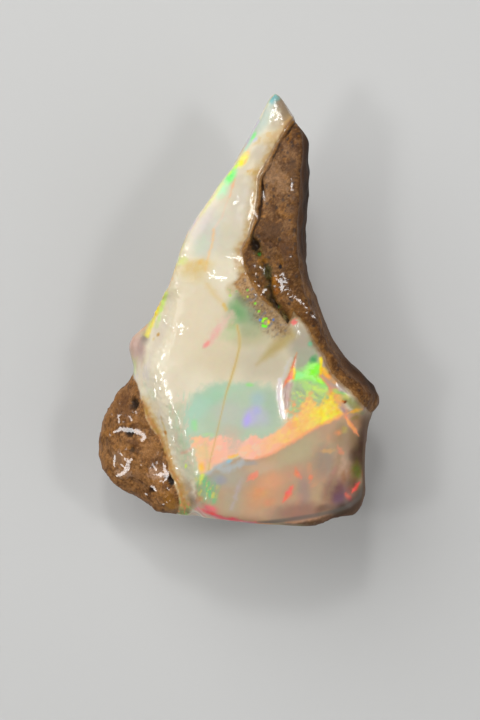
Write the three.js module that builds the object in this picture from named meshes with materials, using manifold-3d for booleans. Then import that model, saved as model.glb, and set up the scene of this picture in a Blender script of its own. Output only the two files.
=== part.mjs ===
// A rough chalk opal: one broken chunk of milky opal, with the brown host rock that it formed in
// still fused along its ridge, on a knob at its lower left and over its back. It is one solid.
//
// The stone lies on its back on the plane z = 0, as it would on a table. +Z points up out of the
// broken opal face, +Y along the stone to its pointed tip, and +X to the side of the rock ridge.
// The origin is on the table, under the middle of the stone's box. All sizes are in millimetres.
//
// The body is lofted from cross-sections square to Y. Each one runs over the face from the left
// edge to the right and comes back underneath. Three scoops, as struck flakes leave, are then cut
// out of its underside and a notch out of its rim, and the back is cut flat where the stone rests.
import * as THREE from "three";
import { mergeVertices } from "three/addons/utils/BufferGeometryUtils.js";
import Module from "manifold-3d";

const FACE_HEIGHT = 13.3; // of the opal face above the table
const CROWN_X = 0.012; // how fast the face falls off sideways, per mm
const CROWN_Y = 0.0022; // and along its length
const CROWN_AT = [1, -4]; // the highest point of the crowned face
const TERRACE_DROP = 1.9; // from the opal face down to the knob beside it
const BEVEL = 2.0; // width of the slope between them
const RIDGE_RISE = 0.9; // of the rock ridge above the face
const RIDGE_WIDTH = 1.5;
const GROOVE_DEPTH = 0.5; // of the crease where rock and opal meet
const GROOVE_WIDTH = 0.8;
const BACK_LEVEL = -2; // where the back would end if it weren't cut flat at z = 0
const BREAK_BLEND = 1.2; // rounding between one break and the next
const LIP_FALL = 0.8; // how steeply, at the least, the underside leaves the widest line
const LIP_BLEND = 0.3; // rounding between that lip and the breaks

const SECTIONS = 58; // cross-sections along the stone
const STEPS_OVER = 42; // steps of each section over the face
const STEPS_UNDER = 22; // and underneath
const CROWDING = 0.55; // 0 spaces sections and steps evenly, 1 crowds them at their ends
const OUTLINE_POINTS = 320;
const LINE_POINTS = 60;
const CUT_SIZE = 80; // of the block that cuts the back flat

// The widest outline, seen from above, anticlockwise from the tip.
const OUTLINE = [
  [3.05, 19.0], [1.4, 16.5], [0.0, 13.9], [-0.8, 12.45], [-1.95, 10.95], [-3.2, 9.05],
  [-4.6, 7.0], [-5.55, 4.65], [-6.3, 2.35], [-7.3, 0.55], [-8.0, -0.95], [-9.1, -2.5],
  [-9.5, -4.1], [-9.55, -5.4], [-11.15, -7.75], [-11.95, -9.4], [-12.4, -11.2],
  [-12.4, -13.25], [-12.0, -14.55], [-11.15, -15.55], [-9.75, -16.2], [-8.35, -17.1],
  [-7.25, -17.8], [-5.6, -18.3], [-3.0, -18.35], [-1.15, -18.55], [1.4, -18.85],
  [4.2, -19.0], [7.4, -19.0], [8.3, -18.45], [10.1, -18.1], [11.0, -16.35], [11.0, -14.3],
  [11.15, -11.45], [11.65, -9.4], [12.3, -8.2], [12.2, -7.2], [11.0, -5.85], [9.85, -4.7],
  [8.85, -3.55], [8.05, -2.25], [7.55, -0.95], [6.9, 0.6], [6.25, 2.1], [5.9, 4.15],
  [5.8, 6.75], [5.95, 9.8], [6.05, 12.9], [6.0, 14.65], [5.5, 15.95], [4.6, 17.1], [3.7, 18.4],
];

// Round the outline: the height of the widest line, and how far in from it the rounded shoulder
// reaches the face.
const RIM = [
  { name: "tip", at: [3.1, 19.0], height: 11.6, shoulder: 0.6 },
  { name: "left of the fin", at: [-1.9, 11.0], height: 12.2, shoulder: 0.5 },
  { name: "left side", at: [-6.3, 2.4], height: 12.0, shoulder: 0.6 },
  { name: "bulge", at: [-9.4, -4.0], height: 8.6, shoulder: 1.0 },
  { name: "top of the knob", at: [-11.2, -7.8], height: 6.9, shoulder: 3.0 },
  { name: "knob", at: [-12.4, -12.2], height: 6.0, shoulder: 4.2 },
  { name: "foot of the knob", at: [-9.8, -16.2], height: 6.6, shoulder: 3.2 },
  { name: "end of the knob", at: [-5.6, -18.3], height: 8.6, shoulder: 1.6 },
  { name: "bottom left", at: [-1.2, -18.5], height: 12.0, shoulder: 0.6 },
  { name: "bottom", at: [4.2, -19.0], height: 12.0, shoulder: 0.7 },
  { name: "bottom right", at: [9.2, -18.3], height: 10.6, shoulder: 1.5 },
  { name: "right side", at: [11.1, -14.0], height: 10.2, shoulder: 1.6 },
  { name: "right corner", at: [12.3, -8.0], height: 7.4, shoulder: 2.8 },
  { name: "right flank", at: [8.8, -3.5], height: 6.8, shoulder: 2.0 },
  { name: "waist", at: [5.9, 3.5], height: 7.4, shoulder: 1.4 },
  { name: "right of the fin", at: [6.0, 11.0], height: 8.8, shoulder: 1.3 },
  { name: "behind the tip", at: [5.5, 16.0], height: 10.2, shoulder: 1.0 },
];

// The flat breaks of the underside. Each passes through a point, leans outwards in the direction
// given in x and y, and drops by its fall for each mm inwards.
const BREAKS = [
  { name: "left of the fin", at: [-4.2, 7.0, 11.2], out: [-0.86, 0.51], fall: 1.6 },
  { name: "left side", at: [-9.2, -4.5, 8.2], out: [-0.97, 0.24], fall: 2.0 },
  { name: "knob", at: [-12.2, -12.0, 5.4], out: [-0.94, -0.34], fall: 1.4 },
  { name: "foot of the knob", at: [-8.4, -17.0, 6.6], out: [-0.42, -0.91], fall: 1.3 },
  { name: "bottom", at: [3.0, -18.9, 11.2], out: [0.12, -0.99], fall: 1.75 },
  { name: "right side", at: [11.0, -14.5, 8.6], out: [0.98, -0.2], fall: 2.4 },
  { name: "right flank", at: [9.6, -4.4, 5.6], out: [0.84, 0.54], fall: 1.5 },
  { name: "right of the fin", at: [5.9, 10.0, 7.6], out: [0.99, 0.14], fall: 2.0 },
  { name: "under the fin", at: [3.1, 18.5, 10.6], out: [0.1, 0.995], fall: 0.55 },
];

// Lines on the face. The opal's left edge runs down over the knob, the crease follows the edge of
// the rock, and the crest follows the top of the ridge.
const FACE_EDGE = [
  [-7.3, 0.6], [-8.1, -2.6], [-9.2, -4.9], [-8.7, -7.1], [-7.9, -9.6], [-6.9, -11.5],
  [-6.2, -13.3], [-5.7, -15.1], [-4.9, -17.2], [-4.4, -18.4],
];
const CREASE = [
  [4.6, 16.2], [2.7, 13.1], [1.8, 10.9], [1.4, 8.0], [0.9, 6.2], [0.1, 5.1], [0.3, 3.9],
  [1.65, 1.3], [3.5, -0.4], [4.2, -1.2], [4.9, -0.3], [6.0, -1.4], [7.2, -3.5], [8.2, -5.4],
  [9.7, -7.1],
];
const CREST = [
  [4.9, 14.8], [4.6, 10.4], [4.4, 6.1], [4.2, 3.0], [5.2, 0.8], [6.4, -0.7], [7.2, -2.7],
  [7.9, -4.6], [9.0, -6.4], [10.6, -7.9],
];

// Shallow bowls struck out of the underside: the middle and radius of each one's sphere.
const SCOOPS = [
  { name: "under the left side", at: [-11.0, 7.4, 0.0], radius: 12.9 },
  { name: "under the bottom", at: [7.0, -24.6, 1.5], radius: 11.6 },
  { name: "behind the waist", at: [12.4, 2.6, 0.4], radius: 8.8 },
];
const SCOOP_SIDES = 44;
const NOTCH = { at: [-4.1, -19.1, 10.6], radii: [0.9, 1.3, 2.4] }; // between the knob and the face

const wasm = await Module();
wasm.setup();

function smoothLine(points, count, closed = false) {
  const corners = points.map(([x, y]) => new THREE.Vector3(x, y, 0));
  const curve = new THREE.CatmullRomCurve3(corners, closed, "centripetal");
  return curve.getSpacedPoints(count).map((p) => [p.x, p.y]);
}

const outline = smoothLine(OUTLINE, OUTLINE_POINTS, true).slice(0, -1);
const faceEdge = smoothLine(FACE_EDGE, LINE_POINTS);
const crease = smoothLine(CREASE, LINE_POINTS);
const crest = smoothLine(CREST, LINE_POINTS);

const bell = (u) => Math.exp(-u * u);
const smoothMax = (a, b, k) => 0.5 * (a + b + Math.hypot(a - b, k));

// A share from 0 to 1 of a run, with its steps crowded at both ends.
const crowded = (t) => THREE.MathUtils.lerp(t, (1 - Math.cos(Math.PI * t)) / 2, CROWDING);

// Distance from (x, y) to a line of points. It is negative on the line's right-hand side, looking
// along it, which is outside for an outline that runs anticlockwise.
function across(line, x, y, closed = false) {
  let best = Infinity;
  let side = 1;
  const last = closed ? line.length : line.length - 1;
  for (let i = 0; i < last; i++) {
    const [ax, ay] = line[i];
    const [bx, by] = line[(i + 1) % line.length];
    const [ex, ey] = [bx - ax, by - ay];
    const t = THREE.MathUtils.clamp(((x - ax) * ex + (y - ay) * ey) / (ex * ex + ey * ey), 0, 1);
    const gap = Math.hypot(x - ax - t * ex, y - ay - t * ey);
    if (gap < best) {
      best = gap;
      side = Math.sign(ex * (y - ay) - ey * (x - ax)) || 1;
    }
  }
  return best * side;
}

// The rim's figures near (x, y), each station counting by its nearness.
function rimAt(x, y) {
  const sum = { height: 0, shoulder: 0 };
  let weights = 0;
  for (const station of RIM) {
    const near = Math.hypot(x - station.at[0], y - station.at[1]);
    const weight = 1 / (near ** 3 + 0.5);
    weights += weight;
    for (const key in sum) sum[key] += weight * station[key];
  }
  for (const key in sum) sum[key] /= weights;
  return sum;
}

// Height of the face, before it rolls over into the rim.
function faceHeight(x, y) {
  const crown = CROWN_X * (x - CROWN_AT[0]) ** 2 + CROWN_Y * (y - CROWN_AT[1]) ** 2;
  const bevel = 1 - THREE.MathUtils.smoothstep(across(faceEdge, x, y), -0.3, BEVEL);
  const ridge = RIDGE_RISE * bell(across(crest, x, y) / RIDGE_WIDTH);
  const groove = GROOVE_DEPTH * bell(across(crease, x, y) / GROOVE_WIDTH);
  return FACE_HEIGHT - crown - TERRACE_DROP * bevel + ridge - groove;
}

function topHeight(x, y, inset) {
  const rim = rimAt(x, y);
  const u = Math.min(inset / rim.shoulder, 1);
  return rim.height + (faceHeight(x, y) - rim.height) * Math.sqrt(1 - (1 - u) ** 2);
}

function underHeight(x, y, inset) {
  let height = BACK_LEVEL;
  for (const { at, out, fall } of BREAKS) {
    const inward = -((x - at[0]) * out[0] + (y - at[1]) * out[1]);
    height = smoothMax(height, at[2] - fall * inward, BREAK_BLEND);
  }
  const lip = rimAt(x, y).height - LIP_FALL * inset;
  return -smoothMax(-height, -lip, LIP_BLEND);
}

// Where the outline's left and right sides are at this y.
function spanAt(y) {
  const crossings = [];
  outline.forEach(([ax, ay], i) => {
    const [bx, by] = outline[(i + 1) % outline.length];
    if (ay > y !== by > y) crossings.push(ax + ((bx - ax) * (y - ay)) / (by - ay));
  });
  return [Math.min(...crossings), Math.max(...crossings)];
}

// One closed cross-section: from the left edge over the face to the right edge, and back below.
function sectionAt(y) {
  const [left, right] = spanAt(y);
  const at = (t) => left + (right - left) * crowded(t);
  const inset = (x) => Math.max(across(outline, x, y, true), 0.02);
  const loop = [[left, y, rimAt(left, y).height]];
  for (let i = 1; i < STEPS_OVER; i++) {
    const x = at(i / STEPS_OVER);
    loop.push([x, y, topHeight(x, y, inset(x))]);
  }
  loop.push([right, y, rimAt(right, y).height]);
  for (let i = STEPS_UNDER - 1; i > 0; i--) {
    const x = at(i / STEPS_UNDER);
    loop.push([x, y, underHeight(x, y, inset(x))]);
  }
  return loop;
}

// The lofted body, closed at each end by a fan to one point of the outline.
function bodyGeometry() {
  const ys = outline.map((p) => p[1]);
  const top = Math.max(...ys);
  const bottom = Math.min(...ys);
  const vertices = [];
  const faces = [];
  const end = (y) => {
    const [x] = outline.find((p) => p[1] === y);
    vertices.push([x, y, rimAt(x, y).height]);
    return vertices.length - 1;
  };
  const tip = end(top);
  const round = STEPS_OVER + STEPS_UNDER;
  let previous = null;
  for (let j = 1; j < SECTIONS; j++) {
    const y = top - (top - bottom) * crowded(j / SECTIONS);
    const first = vertices.length;
    vertices.push(...sectionAt(y));
    for (let i = 0; i < round; i++) {
      const a = first + i;
      const b = first + ((i + 1) % round);
      if (previous === null) faces.push(a, b, tip);
      else {
        const c = previous + i;
        const d = previous + ((i + 1) % round);
        const rise = (p, q) => Math.abs(vertices[p][2] - vertices[q][2]);
        const flatter = rise(a, d) < rise(b, c); // of the patch's two diagonals
        faces.push(...(flatter ? [a, b, d, a, d, c] : [a, b, c, b, d, c]));
      }
    }
    previous = first;
  }
  const foot = end(bottom);
  for (let i = 0; i < round; i++) faces.push(previous + ((i + 1) % round), previous + i, foot);
  return new THREE.BufferGeometry()
    .setAttribute("position", new THREE.Float32BufferAttribute(vertices.flat(), 3))
    .setIndex(faces);
}

function solidOf(geometry) {
  const bare = geometry.clone();
  bare.deleteAttribute("normal");
  bare.deleteAttribute("uv");
  const merged = mergeVertices(bare, 1e-4);
  return new wasm.Manifold(
    new wasm.Mesh({
      numProp: 3,
      vertProperties: merged.attributes.position.array,
      triVerts: new Uint32Array(merged.index.array),
    }),
  );
}

function geometryOf(solid) {
  const mesh = solid.getMesh();
  return new THREE.BufferGeometry()
    .setAttribute("position", new THREE.BufferAttribute(mesh.vertProperties, 3))
    .setIndex(new THREE.BufferAttribute(mesh.triVerts, 1));
}

function ball(at, radii, sides) {
  return solidOf(
    new THREE.SphereGeometry(1, sides, sides / 2).scale(...radii).translate(...at),
  );
}

function roughOpal() {
  let stone = solidOf(bodyGeometry());
  for (const { at, radius } of SCOOPS) {
    stone = stone.subtract(ball(at, [radius, radius, radius], SCOOP_SIDES));
  }
  stone = stone.subtract(ball(NOTCH.at, NOTCH.radii, SCOOP_SIDES / 2));
  const table = new THREE.BoxGeometry(CUT_SIZE, CUT_SIZE, CUT_SIZE);
  stone = stone.subtract(solidOf(table.translate(0, 0, -CUT_SIZE / 2)));
  const mesh = new THREE.Mesh(
    geometryOf(stone),
    new THREE.MeshStandardMaterial({ color: 0xddd3bd, roughness: 0.25, metalness: 0 }),
  );
  const middle = new THREE.Box3().setFromObject(mesh).getCenter(new THREE.Vector3());
  mesh.position.set(-middle.x, -middle.y, 0);
  mesh.name = "rough_opal";
  return mesh;
}

const group = new THREE.Group();
group.add(roughOpal());

export default group;
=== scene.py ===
import math

import bmesh
import bpy
import numpy as np
from mathutils import Euler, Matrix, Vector, noise


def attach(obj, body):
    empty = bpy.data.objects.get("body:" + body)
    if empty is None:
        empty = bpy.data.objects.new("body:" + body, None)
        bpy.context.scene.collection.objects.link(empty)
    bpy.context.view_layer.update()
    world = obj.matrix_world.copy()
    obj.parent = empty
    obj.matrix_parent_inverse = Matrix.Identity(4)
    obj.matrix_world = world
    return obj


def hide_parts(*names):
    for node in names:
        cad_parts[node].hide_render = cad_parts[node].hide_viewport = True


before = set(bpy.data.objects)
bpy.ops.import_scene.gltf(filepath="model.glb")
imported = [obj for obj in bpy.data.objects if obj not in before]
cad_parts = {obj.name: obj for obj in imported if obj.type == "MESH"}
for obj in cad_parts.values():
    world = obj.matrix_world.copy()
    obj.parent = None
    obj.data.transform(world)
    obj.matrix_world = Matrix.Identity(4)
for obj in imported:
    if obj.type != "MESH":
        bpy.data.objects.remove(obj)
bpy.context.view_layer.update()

MM = 0.001
FACE_LEVEL = 13.3  # of the opal face above the table
EYE = (0, -4.41, 362.7)  # the camera looks straight down from here
# Small, bright lights to the right of the stone, beyond its tip, and to its left.
GLINT_LIGHTS = [(230, 24, 363), (-20, 225, 363), (-225, -40, 363)]
# Noise is read along axes of its own, so that its lattice never lines up with the stone.
NOISE_AXES = np.array(Euler((0.62, 0.38, 0.87)).to_matrix())

# ---- shapes on the face


def inside(polygon, xy):
    """Which points are inside a polygon."""
    found = np.zeros(len(xy), bool)
    for (ax, ay), (bx, by) in zip(polygon, polygon[1:] + polygon[:1]):
        if ay == by:
            continue
        spans = (ay > xy[:, 1]) != (by > xy[:, 1])
        at = ax + (bx - ax) * (xy[:, 1] - ay) / (by - ay)
        found ^= spans & (xy[:, 0] < at)
    return found


def beside(a, b, xy):
    """How far along from a to b each point is, from 0 to 1, and its distance from there in mm."""
    a, b = np.array(a, float), np.array(b, float)
    along = np.clip((xy - a) @ (b - a) / ((b - a) @ (b - a)), 0, 1)
    return along, np.hypot(*(xy - a - along[:, None] * (b - a)).T)


def gap_to(line, xy):
    """Distance in mm from each point to a line of points."""
    return np.min([beside(a, b, xy)[1] for a, b in zip(line, line[1:])], axis=0)


def depth_in(line, beyond, xy):
    """How deep in mm each point lies in the region behind a line, negative outside it."""
    return np.where(inside(line + beyond, xy), 1, -1) * gap_to(line, xy)


def depth_of_zone(corners, xy):
    """How deep in mm each point lies in a closed zone, negative outside it."""
    return np.where(inside(corners, xy), 1, -1) * gap_to(corners + corners[:1], xy)


def ramp(value, low, high):
    """0 where the value is low, 1 where it is high, and smooth between."""
    share = np.clip((value - low) / (high - low), 0, 1)
    return share * share * (3 - 2 * share)


def bell(value):
    return np.exp(-value * value)


def blend(share, a, b):
    """From a where the share is 0 to b where it is 1."""
    return a + share[:, None] * (np.asarray(b, float) - a)


def layered(colour, *layers):
    """A colour under layers of others, each with its share."""
    for share, tint in layers:
        colour = blend(share, colour, tint)
    return colour


def waves(places, size, octaves=1, offset=0):
    """Smooth noise from about -1 to 1 whose lumps are size mm across."""
    spots = (places @ NOISE_AXES / size + offset).tolist()
    if octaves == 1:
        return np.array([noise.noise(spot) for spot in spots])
    return np.array([noise.fractal(spot, 0.9, 2.1, octaves) for spot in spots])


def pits(places, size):
    """0 on the surface to 1 in the middle of round pits that are about size mm apart."""
    spots = (places @ NOISE_AXES / size).tolist()
    gaps = np.array([noise.voronoi(spot)[0][0] for spot in spots])
    return 1 - ramp(gaps, 0.12, 0.42)


# ---- where the rock is

# Where opal meets rock. Each line runs along the rock's edge, and the points after it close the
# rock's region well outside the stone.
RIDGE_EDGE = [
    (5.5, 17.7), (4.4, 16.3), (3.55, 15), (2.5, 13.2), (1.7, 11.6), (1.5, 9.8), (1.2, 8), (0.8, 6.4),
    (0.1, 5.2), (0.3, 3.9), (0.8, 2.6), (1.55, 1.3), (2.4, 0.5), (3.5, -0.4), (4.2, -1.3), (4.7, -0.1),
    (5.25, -0.65), (5.8, -1.55), (6.4, -2.6), (6.95, -3.6), (7.5, -4.5), (8, -5.5), (8.65, -6.25),
    (9.7, -7.1), (10.5, -8.2), (11.4, -8.9), (12.6, -9.3),
]
RIDGE_BEYOND = [(30, -9.3), (30, 17.6)]
KNOB_EDGE = [
    (-10.2, -4.6), (-9.7, -5.3), (-9, -7.1), (-8.35, -9.4), (-7.95, -10.4), (-7, -11.6), (-6.5, -13.2),
    (-5.9, -15.1), (-5.4, -16.4), (-5.3, -17.3), (-5.8, -18.6),
]
KNOB_BEYOND = [(-5.8, -30), (-30, -30), (-30, -4.6)]
# The crest of the ridge, with the steep, smoother flank beyond it.
CREST = [
    (5.4, 17.4), (5.2, 15.7), (5.1, 12.6), (5, 10.9), (4.9, 8.7), (4.8, 5.6), (5.2, 3), (6.3, 0.9),
    (7.2, -1), (7.9, -3), (9, -5), (10.4, -6.8), (12.4, -8.4),
]
CREST_BEYOND = [(30, -8.4), (30, 17.4)]
CREVICE = [
    (1.25, 6.2), (1.55, 5.1), (2, 4.2), (2.5, 3.1), (2.65, 1.9), (2.75, 1), (3.35, 0.2), (3.9, -0.45),
    (4.25, -1.1),
]
SKIN_LEVEL = 5.6  # under this height the back is host rock
SKIN_WAVE = 1.6  # and how far that level wanders

# A thin, speckled spill of rock over the opal below the ridge's tongue.
SPILL = [
    (-0.5, 2.2), (0, 2.9), (0.6, 3.2), (1.3, 2), (2.1, 0.9), (3.2, -0.2), (4.3, -1.3), (4.4, -2.2),
    (3.4, -2.5), (2.2, -2), (1.3, -1.1), (0.9, 0.2), (0.1, 1.4),
]

# A chip struck out of the face: its steep left wall, and the zone that it takes in.
CHIP_WALL = [(4.7, -4), (3.9, -5.2), (3.45, -6.5), (3.4, -7.9), (3.6, -9), (3.85, -9.9)]
CHIP_RUN_OUT = [(4.2, -9.2), (4.35, -8), (4.6, -6.6), (5, -5.2), (5, -4.2)]
CHIP = CHIP_WALL + CHIP_RUN_OUT


class Ground:
    """Where each point of the stone's surface is, and what it is made of."""

    def __init__(self, places, normals):
        self.places = places
        self.normals = normals
        self.xy = places[:, :2]
        wobble = 0.13 * waves(places, 1.3) + 0.08 * waves(places, 0.45)
        self.ridge = depth_in(RIDGE_EDGE, RIDGE_BEYOND, self.xy) + wobble
        self.knob = depth_in(KNOB_EDGE, KNOB_BEYOND, self.xy) + wobble
        skin = SKIN_LEVEL + SKIN_WAVE * waves(places, 4.5, 3) - places[:, 2]
        self.rock = np.maximum(np.maximum(self.ridge, self.knob), skin + wobble)
        self.flank = depth_in(CREST, CREST_BEYOND, self.xy)
        self.spill = depth_of_zone(SPILL, self.xy) + 2 * wobble
        self.face = ramp(normals[:, 2], 0.3, 0.7)


# ---- the stone's mesh

VOXEL = 0.215  # mm between the net's points, halved on the upper side
FINE_LEVEL = 8  # mm above the table; the net is finer over this where it faces up
FINE_TILT = 0.5
NET_SOFTENING = 5  # rounds, of the whole net and of its added points
FINE_SOFTENING = 2


def net_over(node):
    """A copy of a CAD solid's surface as an even net of small quads."""
    piece = bpy.data.objects.new("opal_stone", node.data.copy())
    bpy.context.scene.collection.objects.link(piece)
    remesh = piece.modifiers.new("net", "REMESH")
    remesh.mode = "VOXEL"
    remesh.voxel_size = VOXEL * MM
    soften = piece.modifiers.new("soften", "SMOOTH")
    soften.iterations = NET_SOFTENING
    evaluated = piece.evaluated_get(bpy.context.evaluated_depsgraph_get())
    mesh = bpy.data.meshes.new_from_object(evaluated)
    piece.modifiers.clear()
    piece.data = mesh
    return piece


def refine_top(piece):
    """Halves the net's spacing on the side that faces up."""
    net = bmesh.new()
    net.from_mesh(piece.data)
    edges = set()
    for quad in net.faces:
        if quad.normal.z > FINE_TILT and quad.calc_center_median().z > FINE_LEVEL * MM:
            edges.update(quad.edges)
    made = bmesh.ops.subdivide_edges(net, edges=list(edges), cuts=1, use_grid_fill=True)
    points = [part for part in made["geom_inner"] if isinstance(part, bmesh.types.BMVert)]
    for _ in range(FINE_SOFTENING):
        bmesh.ops.smooth_vert(
            net, verts=points, factor=0.5, use_axis_x=True, use_axis_y=True, use_axis_z=True
        )
    net.to_mesh(piece.data)
    net.free()


def read(values, name, width):
    out = np.empty(len(values) * width, np.float32)
    values.foreach_get(name, out)
    return out.reshape(-1, width).astype(float)


def store(mesh, name, values):
    """Keeps a number, a colour or a direction for each of the net's points."""
    if values.ndim == 1:
        layer = mesh.attributes.new(name, "FLOAT", "POINT")
        layer.data.foreach_set("value", values.astype(np.float32))
    else:
        layer = mesh.attributes.new(name, "FLOAT_COLOR", "POINT")
        filled = np.column_stack([values, np.ones(len(values))])
        layer.data.foreach_set("color", filled.astype(np.float32).ravel())


# ---- relief

# Bright ripples in the film of water on the stone: lines of points, width in mm.
GLINTS = [
    ([(1.15, 10.3), (0.95, 9.4), (1.05, 8.7)], 0.24), ([(1, 9.3), (1.1, 8.6)], 0.44),
    ([(1, 8.9), (0.75, 7.8)], 0.22), ([(1.05, 8.8), (1.4, 8.3), (1.6, 7.9)], 0.3),
    ([(-1.4, 4.65), (-0.7, 4.5), (-0.1, 4.6)], 0.2), ([(-0.3, 4.7), (0.1, 4.5), (0.25, 4)], 0.3),
    ([(-2.9, 3.3), (-2.3, 2.9)], 0.4), ([(-2.4, 2.8), (-1.2, 2.75)], 0.48),
    ([(-0.6, 3.8), (-0.4, 3.5)], 0.3), ([(3.3, 18), (3.1, 17.4), (2.8, 17.2), (2.65, 16.8)], 0.2),
    ([(3.1, 17.4), (3.4, 17.1), (3.2, 16.6)], 0.12), ([(4.2, 16.5), (4.4, 16.3)], 0.18),
    ([(-4.9, 5.8), (-4.6, 5.2)], 0.24), ([(-5.1, 4.9), (-4.5, 4.6)], 0.16),
    ([(-6.9, -0.8), (-6.4, -1.2)], 0.3), ([(-6.3, -1.3), (-5.8, -1.6)], 0.2),
    ([(-5.2, -1.3), (-4.9, -1.5)], 0.28), ([(-6.7, -4), (-6.9, -4.4)], 0.26),
    ([(-7.2, -4.7), (-7.2, -5.3)], 0.26), ([(-7.4, -5.7), (-7.3, -6.3)], 0.24),
    ([(-7.5, -6.9), (-7.4, -7.6)], 0.28), ([(-6.2, -9.4), (-6.1, -9.9), (-6, -10.4)], 0.42),
    ([(-5.85, -10.9), (-5.75, -11.9)], 0.14),
    ([(-11.2, -10.8), (-10.5, -10.5), (-9.6, -10.6), (-8.85, -10.8), (-8.4, -11.2), (-8.65, -11.5)], 0.5),
    ([(-10.75, -9.3), (-10.7, -9.9)], 0.36), ([(-9.75, -9.4), (-9.6, -9.7)], 0.5),
    ([(-9.2, -8.9), (-9.1, -9.2)], 0.4), ([(-11.55, -10.95), (-11.5, -11.1)], 0.3),
    ([(-11.1, -12.9), (-11.15, -13.8)], 0.46), ([(-10.75, -12.55), (-10.4, -12.9)], 0.5),
    ([(-9.6, -13.2), (-9.85, -13.5), (-9.95, -13.95), (-10.3, -14.4), (-10.95, -14.7)], 0.5),
    ([(-10.6, -13.6), (-10.2, -13.9)], 0.44), ([(-7.7, -13.6), (-7.35, -14.1)], 0.4),
    ([(-7.6, -14.5), (-7.1, -14.5), (-6.6, -14.45)], 0.44),
    ([(-6.75, -13.5), (-6.6, -14.1), (-6.4, -14.55), (-6.5, -15.05)], 0.44),
    ([(-5.85, -14.95), (-5.6, -15.45)], 0.26), ([(-7.8, -15.5), (-7.45, -15.9)], 0.6),
    ([(-8.4, -16.2), (-8.05, -16.5)], 0.38), ([(-7, -18.1), (-6.6, -18.4)], 0.3),
    ([(4.55, 11.2), (4.5, 10.4)], 0.2), ([(2.05, 10.3), (2.15, 9.6)], 0.38),
    ([(1.8, 3.7), (2.1, 3.5), (2.15, 3.1)], 0.42), ([(3.75, 3.1), (3.8, 2.8)], 0.34),
    ([(3.6, 2.7), (3.7, 1.9)], 0.42), ([(3.4, 2.4), (4.1, 2.35)], 0.36),
    ([(1.85, 1.3), (2.05, 1.6), (2.3, 1.75)], 0.34), ([(2.85, 2.1), (3.1, 2)], 0.22),
    ([(4.8, 1), (5.2, 0.65)], 0.2), ([(5.6, 0.35), (6, 0)], 0.2), ([(6.25, -0.5), (6.6, -0.75)], 0.36),
    ([(8.4, -6.4), (8.55, -6.75)], 0.2), ([(8.6, -7), (8.7, -7.2)], 0.14),
    ([(3.36, -6.3), (3.22, -6.9), (3.22, -8), (3.45, -9), (3.68, -9.9)], 0.13),
    ([(3.68, -6.2), (3.62, -7.5), (3.8, -8.5), (4, -8.95), (3.85, -9.5)], 0.17),
    ([(5.03, -3.8), (5.05, -4.5)], 0.1), ([(4.6, -6.1), (4.65, -6.25)], 0.16),
    ([(2.9, -5), (3, -5.1)], 0.14), ([(-1.72, -9.9), (-1.68, -10)], 0.14),
    ([(1.83, -11.44), (2.4, -11.2), (3.3, -10.75)], 0.08), ([(11.6, -10), (11.7, -10.3)], 0.14),
]

# Clusters of glinting droplets: a line through the middle, how far they stray from it, how many.
SPRAYS = [
    ([(-6.6, -2.6), (-7.1, -5), (-7.4, -7.8)], 0.3, 26),
    ([(-6.2, -9), (-5.8, -12.2), (-5.1, -15.4)], 0.25, 16), ([(-6.9, -0.5), (-5, -1.7)], 0.25, 14),
    ([(-1.4, 8.9), (0.5, 10.4)], 0.5, 9), ([(0.7, 8), (1.2, 10.4)], 0.22, 10),
    ([(-2.9, 3.5), (-1, 2.7)], 0.22, 14), ([(-5.6, 3.5), (-4.6, 6)], 0.3, 12),
    ([(-1.3, 5.2), (0.1, 4.2)], 0.25, 8), ([(3.2, 17.9), (2.8, 16.4)], 0.16, 8),
    ([(3.6, 3), (3.9, 1.7)], 0.26, 26), ([(4.3, 1.6), (5.4, 0.5), (6.9, -1)], 0.18, 22),
    ([(1.2, 4.3), (2.2, 1.4)], 0.4, 10), ([(4.6, 11.6), (4.7, 4.5)], 0.12, 8),
    ([(-11, -9), (-9.2, -9.4)], 0.3, 12), ([(-11, -12.2), (-9.6, -13.8)], 0.35, 16),
    ([(-7.8, -13.4), (-6.2, -15.2)], 0.35, 18), ([(-6.8, -16.4), (-5.8, -17.6)], 0.3, 10),
]
SPRAY_SEED = 7
SHIVER = 0.03  # how far a ripple's normal strays

# Holes in the rock of the knob and the ridge: middle, radius, depth.
HOLES = [
    ((-9.35, -8.3), 0.5, 0.3), ((-9.8, -10.85), 0.5, 0.3), ((-6.05, -15), 0.4, 0.35),
    ((-9.5, -12.3), 0.28, 0.16), ((-7.85, -15.95), 0.3, 0.2), ((1.35, 5.6), 0.36, 0.25),
    ((3.5, 3.8), 0.2, 0.2),
]


def in_groove(ground, width):
    """1 in the groove just inside the upper part of the ridge's edge, to 0 beside it."""
    off = ground.ridge - 0.42 - 0.25 * waves(ground.places, 1.6)
    return bell(off / width) * ramp(ground.xy[:, 1], 5, 7) * ground.face


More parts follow.
